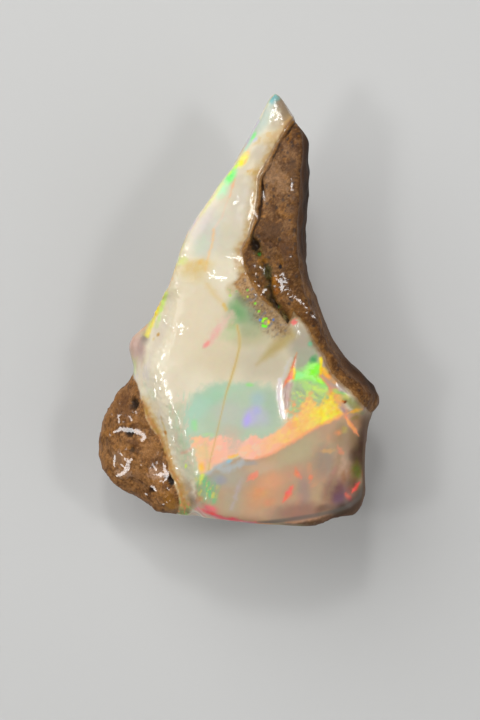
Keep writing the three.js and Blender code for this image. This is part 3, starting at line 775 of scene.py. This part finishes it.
BELOW_BAND = [
    (-3.1, -14.6), (-2.4, -13.95), (-1.4, -13.45), (-0.9, -13.15), (0, -12.8), (1.4, -12.9), (2.6, -12.4),
    (5.3, -10.8), (8.3, -9.2), (9.2, -8.8), (11.3, -9), (11.8, -19.5), (-4.2, -19.5), (-4, -16.8),
    (-3.7, -15),
]
BASE_STROKES = [
    (4.8, -12.5, 3.8, 1.5, 28, (190, 176, 140)), (1.9, -13.9, 2.2, 0.9, 8, (204, 176, 146)),
    (-1, -14.6, 2.2, 2, 0, (180, 170, 150), 0.95), (-2.2, -14.9, 0.9, 0.9, 0, (160, 168, 162), 0.8),
    (-0.6, -16.9, 1.6, 1.4, 0, (182, 166, 138)), (1.9, -16.4, 2.4, 1.6, 20, (212, 160, 120)),
    (2.8, -15, 1.8, 1.2, 20, (222, 164, 126)), (1.8, -16, 0.9, 0.7, 0, (224, 158, 106), 0.6, 0.2),
    (5, -14.3, 1.8, 1.1, 0, (206, 158, 128), 0.7, 0.2), (5.6, -16, 0.9, 2.4, 0, (160, 134, 132), 0.55),
    (5.2, -17.7, 3.4, 1.1, 4, (152, 112, 98), 0.8), (7.4, -13.5, 1.3, 2.1, -14, (152, 138, 126), 0.65),
    (8.2, -14.3, 0.45, 1, -24, (190, 120, 122), 0.5, 0.2), (8.9, -16.1, 2.2, 2, 10, (118, 80, 80), 0.95),
    (8.7, -16.6, 0.8, 0.9, -20, (112, 82, 108), 0.6), (9.4, -14.5, 0.7, 1.2, -10, (146, 98, 64), 0.8, 0.2),
    (10.3, -12.6, 1.5, 2.4, 0, (84, 62, 44), 0.95), (10.3, -14.1, 0.75, 1.2, 0, (106, 106, 44), 0.95),
    # Painted shade: the dark brown oval at (11.3, -11.8) deepens the brown right edge where it turns away
    # from the light.
    (9.4, -11.2, 1.5, 1.4, 0, (152, 124, 90), 0.8), (11.3, -11.8, 1.1, 3.2, 4, (44, 26, 18), 1),
    (10.9, -16.4, 1.2, 1.8, -20, (84, 72, 60)),
    ([(8.9, -12.4), (8.2, -14.9), (7.2, -17.8)], 0.6, 0.9, (160, 132, 102), 0.7),
]


def paint_base(p):
    """Below the band: slate at the left, grey-green, then a warm tan with glowing spots, and painted shade
    along the right edge.
    """
    p.zone(BELOW_BAND, 0.4, (192, 158, 128))
    low = ramp(depth_of_zone(BELOW_BAND, p.near), 0, 0.8)
    right = low * ramp(p.near[:, 0], 0, 3)
    p.specks(right, 2.2, 0.5, (216, 158, 118), 0.5, 11, 70, 1.6)
    p.specks(right, 1.5, 0.4, (174, 160, 130), 0.5, 13, 70, 1.8)
    p.strokes(BASE_STROKES)


SLATE_LIGHTS = [
    ([(-2.9, -14.4), (-2.2, -13.85), (-1.4, -13.5), (-0.9, -13.25)], 0.3, 0.5, (176, 186, 190), 0.85),
    (-0.95, -13.25, 0.4, 0.22, 24, (150, 196, 214), 0.85, 0.1),
    ([(-1.5, -13.9), (-0.6, -13.75), (0.2, -13.35)], 0.6, 0.6, (184, 188, 188)),
    (0.9, -13.45, 1, 0.36, 0, (172, 166, 162), 0.8),
    ([(0.15, -14.9), (-0.3, -16), (-0.8, -17.4)], 0.2, 0.6, (188, 176, 190), 0.55),
    (-1.6, -14.9, 0.7, 0.6, 0, (160, 160, 170), 0.7),
]
BASE_LIGHTS = [
    ([(-3.3, -14.55), (-3.5, -15.1)], 0.24, 0.3, (226, 232, 96)),
    ([(-4.3, -17.2), (-3.5, -16.5)], 0.36, 0.4, (230, 136, 84), 0.8, 0.4),
    ((0.7, -14.95), (1.6, -14.15), 0.44, (246, 146, 118), 0.8),
    (4.2, -16.1, 1.2, 0.5, 57, (234, 140, 114), 0.6),
    ((3.75, -16.8), (4.6, -15.45), 0.4, (248, 112, 96), 0.85),
    ((4.85, -13.9), (5.1, -14.7), 0.36, (244, 130, 98), 0.8),
    ((5.2, -14.2), (5.35, -15), 0.24, (236, 134, 112), 0.7),
    ((6.15, -14.5), (6.2, -15.1), 0.24, (242, 134, 96), 0.8),
    (2.6, -16.9, 0.8, 0.5, 30, (222, 148, 110), 0.6, 0.3),
    ((7, -12.35), (8.4, -12.3), 0.36, (222, 174, 112), 0.65),
    ((8.55, -11.9), (9.05, -12.65), 0.36, (226, 142, 106), 0.7),
    (8.6, -10.75, 0.5, 0.4, 20, (232, 150, 100), 0.8, 0.3),
    (9.15, -10.5, 0.4, 0.5, 0, (196, 176, 80), 0.75, 0.3), (9.9, -15.3, 0.8, 1.1, 0, (108, 78, 48), 0.75),
    (9.7, -15.8, 0.9, 0.4, 48, (150, 74, 60), 0.4),
    ((9.8, -16.05), (10.5, -15.15), 0.36, (244, 96, 76), 0.95),
    ((9.3, -16.15), (9.85, -16.95), 0.3, (226, 90, 78), 0.8),
    (10.85, -14.4, 0.16, 0.5, 0, (220, 110, 72), 0.8),
    (10.3, -9.8, 0.9, 0.9, -30, (178, 134, 94), 0.8, 0.2),
    ((9.25, -9.3), (10.45, -11.15), 0.34, (254, 162, 110), 0.95, 0.2),
    ((9.4, -9.6), (10.1, -10.6), 0.14, (255, 186, 96), 0.8, 0.14),
    ([(-4.8, -15.4), (-4.5, -16.4), (-4.2, -17.2)], 0.9, 1, (146, 120, 94), 0.7),
    (-4.3, -16.9, 0.7, 0.8, 0, (110, 90, 58), 0.75, 0.2), (-4.75, -13.75, 0.16, 0.3, 0, (206, 230, 100)),
]


def paint_base_lights(p):
    """Small lights below the band."""
    p.strokes(SLATE_LIGHTS)
    green = p.within([(-3.8, -14.5), (-2.8, -14.7), (-2, -15.6), (-2.2, -16.9), (-3.5, -16.6)], 1)
    p.lay(green, (150, 178, 136), 0.85)
    p.specks(green, 0.3, 0.44, (114, 200, 130), 0.7, 2, 76, 3)
    p.specks(green, 0.3, 0.24, (222, 214, 96), 0.7, 6, 76, 2)
    p.strokes(BASE_LIGHTS)


def paint_rims(p):
    """The red line along the bottom edge, the dull lip to its right and a grey bevel over it."""
    p.oval((-2.6, -17.4), (0.9, 0.45), -24, (238, 110, 122), 0.8, 0.2)
    p.line([(-3.6, -17.6), (-2.1, -18.2), (0, -18.7), (1.5, -18.95)], 0.6, 0.26, (254, 84, 96), 1)
    p.zone([(1.9, -18.85), (4.8, -18.7), (7, -18.3), (9.2, -17.7), (10.8, -16.6), (12, -17),
            (11, -20), (1, -20)], 0.3, (102, 74, 54), 0.95, 0.2)
    p.oval((7.4, -17.4), (1.3, 0.5), 18, (118, 88, 72), 0.75)
    p.oval((9.3, -17.4), (2.2, 0.9), 28, (74, 58, 48), 0.85)
    grey_bevel = [(1.6, -18.75), (4.4, -18.35), (6.4, -18.05), (8.2, -17.7), (9.6, -17.2),
                  (10.5, -16.4), (11, -15.2)]
    away = gap_to(grey_bevel, p.exact)
    p.lay(1 - ramp(away, 0.05, 0.3), (106, 100, 94), 0.7)
    tip = p.within([(-6, -16.6), (-4.4, -16.9), (-4.1, -18.2), (-5.2, -19), (-6.4, -18.8)], 0.5)
    p.lay(tip, (128, 128, 74), 0.85)
    p.specks(tip, 0.36, 0.36, (236, 130, 70), 0.8, 3)
    p.specks(tip, 0.4, 0.34, (130, 190, 100), 0.8, 5)


def paint_veins(p):
    """Iron stains: a hair-thin vein down the face, and one along the knob."""
    vein = [(-0.25, -1.4), (-0.06, -2.3), (-0.05, -3.3), (-0.45, -5), (-1.2, -7.3),
            (-1.9, -10.3), (-2.55, -13), (-2.75, -14)]
    away = gap_to(vein, p.exact)
    high = 0.15 + 0.35 * ramp(p.near[:, 1], -9, -6)
    p.lay(1 - ramp(away, 0.02, 0.3), (218, 194, 128), high)
    p.lay(1 - ramp(away, 0, 0.1), (202, 168, 98), 0.35 + 0.6 * high)
    p.oval((-7.2, -10.7), (0.7, 0.4), -40, (214, 176, 108), 0.9, 0.3)
    stain = [(-8.6, -8.2), (-7.8, -9.9), (-7, -11.3), (-6.5, -13), (-5.8, -14.6),
             (-5.2, -15.7), (-4.9, -17)]
    p.line(stain, 0.8, 1.1, (208, 166, 98), 0.85)
    p.line(stain, 0.36, 0.5, (180, 122, 56), 0.8, 0.3)
    p.line([(-6.95, -9.3), (-6.5, -10.7), (-6.38, -12), (-5.95, -13.8)],
           0.1, 0.3, (206, 146, 66), 0.75, 0.3)
    p.oval((-6.5, -10.75), (0.16, 0.24), 0, (196, 120, 40), 0.95)


# Pale, dark, mossy and ochre spots on the ridge and along its crevice, then the knob's dark holes
# and paler and golden spots: middle, radii, colour, strength. The dark spots in the holes, along the
# crease left of the crest and on the knob's upper left are painted shade; three pale spots around
# the knob's glints are painted sheen.
ROCK_SPOTS = [
    ((2.9, 12), (0.9, 1.3), (164, 128, 94), 0.6), ((2.3, 9.9), (0.4, 0.8), (160, 128, 100), 0.5),
    # Painted shade along the crease left of the crest at (4.5, 12.3), (4.7, 8.8) and (4.2, 5.2), and in the
    # holes at (1.35, 5.6) and (3.5, 3.75).
    ((2.7, 7), (1.1, 1.2), (78, 50, 26), 0.7), ((4.5, 12.3), (0.5, 1.3), (82, 56, 34), 0.6),
    ((4.7, 8.8), (0.3, 1.6), (84, 56, 34), 0.5), ((3.7, 11), (0.7, 1), (158, 120, 84), 0.6),
    ((4.2, 5.2), (0.8, 1.3), (86, 54, 28), 0.6), ((1.35, 5.6), (0.36, 0.6), (34, 28, 18), 0.9),
    ((2, 4.3), (0.5, 0.4), (150, 96, 28), 0.7), ((2.45, 3.2), (0.36, 0.8), (62, 56, 20), 0.9),
    ((3.05, 2.6), (0.24, 0.6), (168, 106, 28), 0.8), ((3.15, 1.6), (0.3, 0.3), (150, 88, 26), 0.7),
    ((1.67, 4.85), (0.16, 0.14), (58, 130, 36), 0.95), ((3.5, 3.75), (0.16, 0.2), (20, 24, 36), 0.95),
    ((4, -0.8), (0.3, 0.5), (126, 114, 74), 0.8), ((3.4, 0.3), (0.12, 0.12), (60, 120, 50), 0.8),
    # Painted shade on the knob: the large dark spots at (-10.6, -7.6) and (-10.4, -8.7) where it falls away
    # on its upper left, and the dark spots in its holes.
    ((-10.6, -7.6), (1, 1), (104, 68, 38), 0.6), ((-8.6, -9.8), (0.5, 0.8), (118, 78, 36), 0.6),
    ((-9.4, -8.3), (0.5, 0.6), (56, 42, 22), 0.7), ((-9.8, -10.85), (0.5, 0.16), (16, 20, 24), 0.95),
    ((-9.5, -12.35), (0.3, 0.3), (64, 42, 18), 0.8), ((-6.05, -15), (0.3, 0.5), (34, 40, 46), 0.9),
    ((-10.4, -8.7), (1.1, 1.4), (92, 58, 32), 0.5), ((-9.3, -11.7), (0.5, 0.5), (92, 56, 26), 0.6),
    # Painted sheen: the pale spots at (-10.7, -13.1), (-10.4, -14.5) and (-7.4, -14.4) around the knob's
    # glints.
    ((-9.1, -14.6), (0.5, 0.5), (160, 116, 76), 0.6), ((-10.7, -13.1), (0.8, 0.8), (184, 148, 120), 0.4),
    ((-10.4, -14.5), (0.9, 0.5), (190, 156, 134), 0.6), ((-7.4, -14.4), (0.9, 0.6), (194, 156, 130), 0.6),
    ((-7.7, -12.4), (0.9, 0.9), (166, 118, 70), 0.6), ((-6, -17.5), (0.7, 0.6), (154, 120, 80), 0.7),
    ((-7.85, -15.95), (0.34, 0.26), (62, 36, 14), 0.8), ((-7.2, -13.2), (0.4, 0.3), (92, 56, 20), 0.6),
    ((-6.2, -16.9), (0.6, 1.1), (146, 98, 34), 0.6),
]


def opal_paint(ground):
    """The opal's colours: the painted face, and milky layers down the sides."""
    p = Paint(ground.places, CREAM, IVORY)
    for step in (paint_cream, paint_fin, paint_left_edge, paint_green_patch, paint_pool,
                 paint_base, paint_by_the_ridge, paint_band, paint_chip, paint_base_lights,
                 paint_rims, paint_veins):
        step(p)
    edge = bell((ground.ridge + 0.3) / 0.4)
    p.lay(edge * ramp(ground.xy[:, 1], -2, 3), (192, 154, 98), 0.8, 0.45)
    p.lay(bell((ground.ridge + 0.1) / 0.14), (128, 88, 48), 0.7, 0.3)
    p.shimmer()
    return blend(ground.face, side_paint(ground), p.colour)


def side_paint(ground):
    """The sides: milky layers with soft flashes lying along them, and a darker brown deepened with painted
    shade on the lower right and down the tip's right side.
    """
    places = ground.places
    milk = ramp(waves(places * (0.4, 0.4, 1.8), 1.6, 3), -0.3, 0.3)
    colour = blend(milk, np.array((206, 188, 152)), (230, 218, 192))
    x, y = ground.xy.T
    low = places[:, 2] + 0.8 * waves(places, 2.6, 2)
    # A darker brown on the lower right, deepened with painted shade where that side turns away from the
    # light.
    shaded_brown_right = ramp(x + 1.2 * waves(places, 2, 2), 2, 7) * ramp(-y, 7.8, 10)
    # Down the tip's right side: its brownish edge, deepened with painted shade on the facet that turns away
    # from the light.
    tip = ramp(x, 2.8, 3.8) * ramp(y, 14.5, 16)
    rosy = (x < 0) * bell((y + 3.1) / 1.6)
    high = ramp(places[:, 2] + 0.6 * waves(places, 1.4, 2), 11.3, 12.6)
    red = bell((x + 1) / 2.2) * ramp(-y, 16.6, 17.4) * high
    for size, tint, offset in ((2.4, (158, 200, 168), 3), (2, (240, 176, 124), 5),
                               (1.6, (188, 178, 220), 7), (1.2, (196, 226, 140), 11)):
        sheet = places * (0.7, 0.7, 1.5)
        spots = ramp(waves(sheet, size, 3, offset), 0.12, 0.55)
        colour = blend(0.6 * spots * ramp(low, 3, 7), colour, tint)
    colour = layered(colour, (0.9 * shaded_brown_right, (92, 66, 50)), (0.9 * tip, (150, 130, 104)),
                     (0.85 * rosy, (190, 158, 148)), (0.9 * red, (250, 90, 98)))
    return colour + 6 * waves(places, 0.4, 2)[:, None]


# The pale, sandy top of the ridge.
SANDY = [(3, 13.4), (4.7, 12.8), (4.9, 9.5), (4.4, 7), (2.8, 6.8), (2.1, 9), (2.3, 11.5)]


def speckled(colour, places, share, octaves, *grains):
    """A colour with patches or grains over it: their size, from which level of noise up, their
    tint, strength, and the noise's offset."""
    for size, low, tint, strength, offset in grains:
        spots = ramp(waves(places, size, octaves, offset), low, low + 0.3)
        colour = blend(strength * spots * share, colour, tint)
    return colour


def rock_paint(ground, hollow):
    """Brown sandy rock, tan on its grains and rusty in patches, with painted shade in its hollows and on
    its far flank.
    """
    places, y, face, flank = ground.places, ground.xy[:, 1], ground.face, ground.flank
    on_ridge = ramp(ground.ridge, -0.5, 0.5) * face
    on_knob = ramp(ground.knob, -0.5, 0.5)
    sandy = ramp(depth_of_zone(SANDY, ground.xy), -0.6, 0.5) * face
    calm = 1 - 0.6 * ramp(flank, 0, 0.8)
    colour = layered(
        np.array((88, 54, 20)),
        (ramp(waves(places, 2.2, 3), -0.35, 0.35), (130, 88, 42)),
        (0.8 * on_knob, (158, 110, 64)),
        (0.75 * on_ridge * bell((y - 4.2) / 3.2), (92, 60, 26)),
        (0.8 * sandy, (116, 82, 50)),
        (0.7 * on_ridge * ramp(-y, -2, 1), (84, 50, 20)),
        (0.5 * bell((y - 14.2) / 1.8) * face, (116, 86, 66)),
    )
    colour = speckled(colour, places, calm, 3, (1.3, 0, (148, 104, 60), 0.4, 4),
                      (1.1, 0.12, (72, 42, 16), 0.55, 9), (0.9, 0.2, (158, 102, 36), 0.45, 5),
                      (0.5, 0.15, (88, 54, 28), 0.4, 15))
    colour = speckled(colour, places, calm, 2, (0.22, 0.1, (58, 36, 18), 0.34, 2),
                      (0.2, 0.1, (186, 142, 92), 0.3, 6))

    dots = ramp(pits(places, 0.62), 0.45, 0.9)
    steep = ramp(places[:, 2], 7, 10)
    streaks = ramp(waves(places * (1, 0.2, 1), 0.7, 2, 17), 0, 0.4)
    edge = bell((ground.ridge - 0.12) / 0.22) * face
    broken = 0.5 + 0.5 * ramp(waves(places, 0.9, 2, 3), -0.2, 0.2)
    away = gap_to(CREVICE, ground.xy) + 0.3 * waves(places, 0.6, 2)
    moss = (1 - ramp(away, 0, 0.6)) * face
    crumbs = ramp(waves(places, 0.3, 2, 19), 0, 0.3)
    colour = layered(
        colour,
        (0.6 * dots * on_ridge * calm, (52, 42, 40)),
        # Painted shade: the upper flank beyond the crest darkens to near black, where it turns away from
        # the light.
        (0.8 * steep * ramp(flank, -0.1, 0.5), (70, 40, 12)),
        (0.85 * steep * ramp(flank, 0.3, 1), (34, 16, 4)),
        (0.35 * streaks * ramp(flank, 0, 0.6), (104, 62, 22)),
        (0.75 * edge * broken, (156, 110, 54)),
        # Painted shade in the carved groove just inside the ridge's edge.
        (0.85 * in_groove(ground, 0.12) * broken, (44, 28, 14)),
        (0.7 * moss, (78, 56, 20)),
        (0.6 * moss * crumbs, (104, 86, 30)),
        # Painted shade: a dark line down the middle of the carved crevice.
        (0.75 * bell(away / 0.1) * face * broken, (30, 24, 10)),
    )
    for centre, radii, tint, strength in ROCK_SPOTS:
        gap = np.hypot(*((ground.xy - centre) / radii).T) + 0.5 * waves(places, 0.3, 2)
        colour = blend(strength * ramp(1.1 - gap, 0, 0.5) * face, colour, tint)
    # Painted shade: the deeper hollows of the relief, its holes, groove and crack, are darkened.
    return blend(0.8 * ramp(hollow, 0.1, 0.32), colour, (38, 24, 14))


def spill_paint(ground, colour):
    """The speckled spill: brown grains in a murky film, with a few glowing ones."""
    places, face = ground.places, ground.face
    by_rock = ramp(ground.ridge, -1.5, -0.2)
    film = ramp(ground.spill, -0.5, 0.8) * face
    high = ramp(ground.xy[:, 1], 0.6, 2) * face
    colour = layered(
        colour,
        (film * (0.6 + 0.4 * by_rock), (144, 122, 90)),
        (0.7 * film * by_rock, (146, 112, 72)),
        (0.8 * ramp(ground.spill, -0.12, 0.16) * high, (190, 150, 104)),
        (0.6 * bell((ground.spill - 0.08) / 0.16) * high, (172, 118, 58)),
    )
    colour = speckled(colour, places, film, 2, (0.2, 0.1, (98, 70, 46), 0.5, 8),
                      (0.24, 0.1, (208, 174, 130), 0.5, 12), (0.3, 0.25, (112, 118, 140), 0.5, 16))
    for spot, radius, tint in GLOWING_GRAINS:
        gap = np.hypot(*(ground.xy - spot).T) + 0.05 * waves(places, 0.25)
        colour = blend(ramp(radius - gap, -0.05, 0.05) * face, colour, tint)
    return colour


# Bright grains of opal in and beside the spill: place, radius and colour. The first few make a
# broken ring.
GLOWING_GRAINS = [
    ((2, -1), 0.12, (150, 250, 40)), ((2.1, -0.82), 0.1, (190, 255, 60)),
    ((2.3, -0.8), 0.1, (140, 250, 50)), ((2.48, -0.95), 0.1, (236, 240, 60)),
    ((2.45, -1.2), 0.1, (160, 252, 40)), ((2.25, -1.45), 0.13, (120, 250, 50)),
    ((2, -1.4), 0.13, (120, 250, 60)), ((2.55, -1.1), 0.12, (255, 200, 60)),
    ((1.65, -0.15), 0.08, (150, 250, 60)), ((1.3, 0.5), 0.09, (140, 230, 70)),
    ((1.75, -0.9), 0.08, (90, 140, 230)), ((0.65, 1.1), 0.06, (190, 220, 70)),
    ((0.6, 1.65), 0.08, (120, 220, 80)), ((-0.85, 1.2), 0.12, (190, 220, 110)),
    ((2.9, -0.9), 0.07, (80, 120, 190)), ((2.7, 1.15), 0.14, (226, 56, 36)),
]


def linear(colour):
    """Screen colours as the linear ones that shaders use."""
    share = np.clip(colour / 255, 0, 1)
    return np.where(share <= 0.04045, share / 12.92, ((share + 0.055) / 1.055) ** 2.4)


# ---- the stone's material


class Graph:
    """Short calls for the shader nodes that a material is made of. Sizes are in mm."""

    def __init__(self, material):
        material.use_nodes = True
        self.tree = material.node_tree
        self.tree.nodes.clear()

    def add(self, kind, inputs, **settings):
        node = self.tree.nodes.new(kind)
        for name, value in settings.items():
            setattr(node, name, value)
        for key, value in inputs.items():
            if isinstance(value, bpy.types.NodeSocket):
                self.tree.links.new(value, node.inputs[key])
            else:
                node.inputs[key].default_value = value
        return node

    def fade(self, value, low, high, start=0, end=1):
        """start where the value is low, end where it is high, and smooth between."""
        inputs = {"Value": value, "From Min": low, "From Max": high, "To Min": start, "To Max": end}
        return self.add("ShaderNodeMapRange", inputs, interpolation_type="SMOOTHSTEP").outputs[0]

    def stored(self, name, output):
        return self.add("ShaderNodeAttribute", {}, attribute_name=name).outputs[output]

    def mix(self, factor, a, b, kind="MIX"):
        inputs = {0: factor, 6: a, 7: b}
        return self.add("ShaderNodeMix", inputs, data_type="RGBA", blend_type=kind).outputs[2]


GRAIN_SIZE = 0.13  # mm, of the rock's sand
GRAIN_HEIGHTS = (0.003, 0.035)  # mm, on opal and on rock
DRY_TO_WET = (0.62, 0.3)  # roughness
OPAL_DEPTH = 0.3  # mm that light strays in the opal


def stone_material():
    material = bpy.data.materials.new("opal_and_host_rock")
    g = Graph(material)
    place = g.add("ShaderNodeTexCoord", {}).outputs["Object"]
    scaled = {0: place, "Scale": 1 / MM}
    at = g.add("ShaderNodeVectorMath", scaled, operation="SCALE").outputs[0]
    is_rock = g.fade(g.stored("rock", "Fac"), -0.06, 0.08)
    sand = {"Vector": at, "Scale": 1 / GRAIN_SIZE, "Detail": 3, "Roughness": 0.6}
    sand = g.add("ShaderNodeTexNoise", sand).outputs["Fac"]
    colour = g.stored("paint", "Color")
    shade = g.fade(sand, 0.3, 0.7, 0.8, 1.2)
    shade = g.add("ShaderNodeCombineColor", {0: shade, 1: shade, 2: shade}).outputs[0]
    colour = g.mix(is_rock, colour, g.mix(1, colour, shade, "MULTIPLY"))
    shine = g.stored("gloss", "Fac")
    depth = {0: sand, 1: g.fade(is_rock, 0, 1, *GRAIN_HEIGHTS)}
    height = g.add("ShaderNodeMath", depth, operation="MULTIPLY").outputs[0]
    bump = g.add("ShaderNodeBump", {"Strength": 1, "Distance": MM, "Height": height}).outputs[0]
    film = {0: g.stored("wet", "Fac"), 4: bump, 5: g.stored("film", "Vector")}
    film = g.add("ShaderNodeMix", film, data_type="VECTOR").outputs[1]
    shader = g.add(
        "ShaderNodeBsdfPrincipled",
        {
            "Base Color": colour,
            "Roughness": g.fade(shine, 0, 1, *DRY_TO_WET),
            "Normal": bump,
            "Subsurface Weight": g.fade(is_rock, 0, 1, 0.3, 0),
            "Subsurface Radius": (1, 0.8, 0.6),
            "Subsurface Scale": OPAL_DEPTH * MM,
            "Coat Weight": g.fade(shine, 0, 1, 0, 0.8),
            "Coat Roughness": 0.12,
            "Coat IOR": 1.45,
            "Coat Normal": film,
            "IOR": 1.45,
            "Specular IOR Level": 0.15,
        },
    )
    g.add("ShaderNodeOutputMaterial", {"Surface": shader.outputs[0]})
    return material


# ---- floor, light and camera

FLOOR_SIZE = 2  # metres
PALE_GREY = (0.6, 0.6, 0.59, 1)
SENSOR = 36
VIEW_HEIGHT = 62.9  # mm of the face's plane that the picture's height takes in
LENS = SENSOR * (EYE[2] - FACE_LEVEL) / VIEW_HEIGHT
# Each light's size in mm and its power in watts.
KEY, FILL, GLINT = (520, 1.44), (420, 0.45), (66, 0.24)
WORLD_LIGHT = 0.17


def stage():
    bpy.ops.mesh.primitive_plane_add(size=FLOOR_SIZE)
    floor = bpy.context.object
    floor.name = "floor"
    material = bpy.data.materials.new("pale_floor")
    material.use_nodes = True
    shader = material.node_tree.nodes["Principled BSDF"]
    shader.inputs["Base Color"].default_value = PALE_GREY
    shader.inputs["Roughness"].default_value = 0.9
    floor.data.materials.append(material)


def softbox(name, place, size, power):
    """A round light turned to the stone. Its place and size are in mm, its power in watts."""
    light = bpy.data.lights.new(name, "AREA")
    light.shape = "DISK"
    light.size = size * MM
    light.energy = power
    lamp = bpy.data.objects.new(name, light)
    bpy.context.scene.collection.objects.link(lamp)
    lamp.location = Vector(place) * MM
    lamp.rotation_euler = (-Vector(place)).to_track_quat("-Z", "Y").to_euler()


def lights():
    softbox("key", (-220, 220, 300), *KEY)
    softbox("fill", (340, -100, 300), *FILL)
    for place in GLINT_LIGHTS:
        softbox("glint", place, *GLINT)
    world = bpy.data.worlds.new("studio")
    bpy.context.scene.world = world
    world.use_nodes = True
    world.node_tree.nodes["Background"].inputs["Color"].default_value = (1, 1, 1, 1)
    world.node_tree.nodes["Background"].inputs["Strength"].default_value = WORLD_LIGHT


def camera():
    data = bpy.data.cameras.new("camera")
    data.lens = LENS
    data.sensor_width = SENSOR
    data.sensor_height = SENSOR
    data.clip_start = 0.01
    eye = bpy.data.objects.new("camera", data)
    bpy.context.scene.collection.objects.link(eye)
    eye.location = Vector(EYE) * MM
    bpy.context.scene.camera = eye


# ---- putting it together


def opal_stone(node):
    piece = net_over(node)
    refine_top(piece)
    mesh = piece.data
    ground = Ground(read(mesh.vertices, "co", 3) / MM, read(mesh.vertex_normals, "vector", 3))
    hollow, wet, film = carve(mesh, ground)
    opal = spill_paint(ground, opal_paint(ground))
    is_rock = ramp(ground.rock, -0.07, 0.07)
    store(mesh, "paint", linear(blend(is_rock, opal, rock_paint(ground, hollow))))
    store(mesh, "rock", ground.rock)
    store(mesh, "wet", wet)
    store(mesh, "film", film)
    store(mesh, "gloss", gloss(ground, is_rock, wet))
    mesh.materials.clear()
    mesh.materials.append(stone_material())
    return piece


bpy.context.scene.view_settings.view_transform = "Standard"
stone = opal_stone(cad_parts["rough_opal"])
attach(stone, "root")
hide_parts("rough_opal")
stage()
lights()
camera()
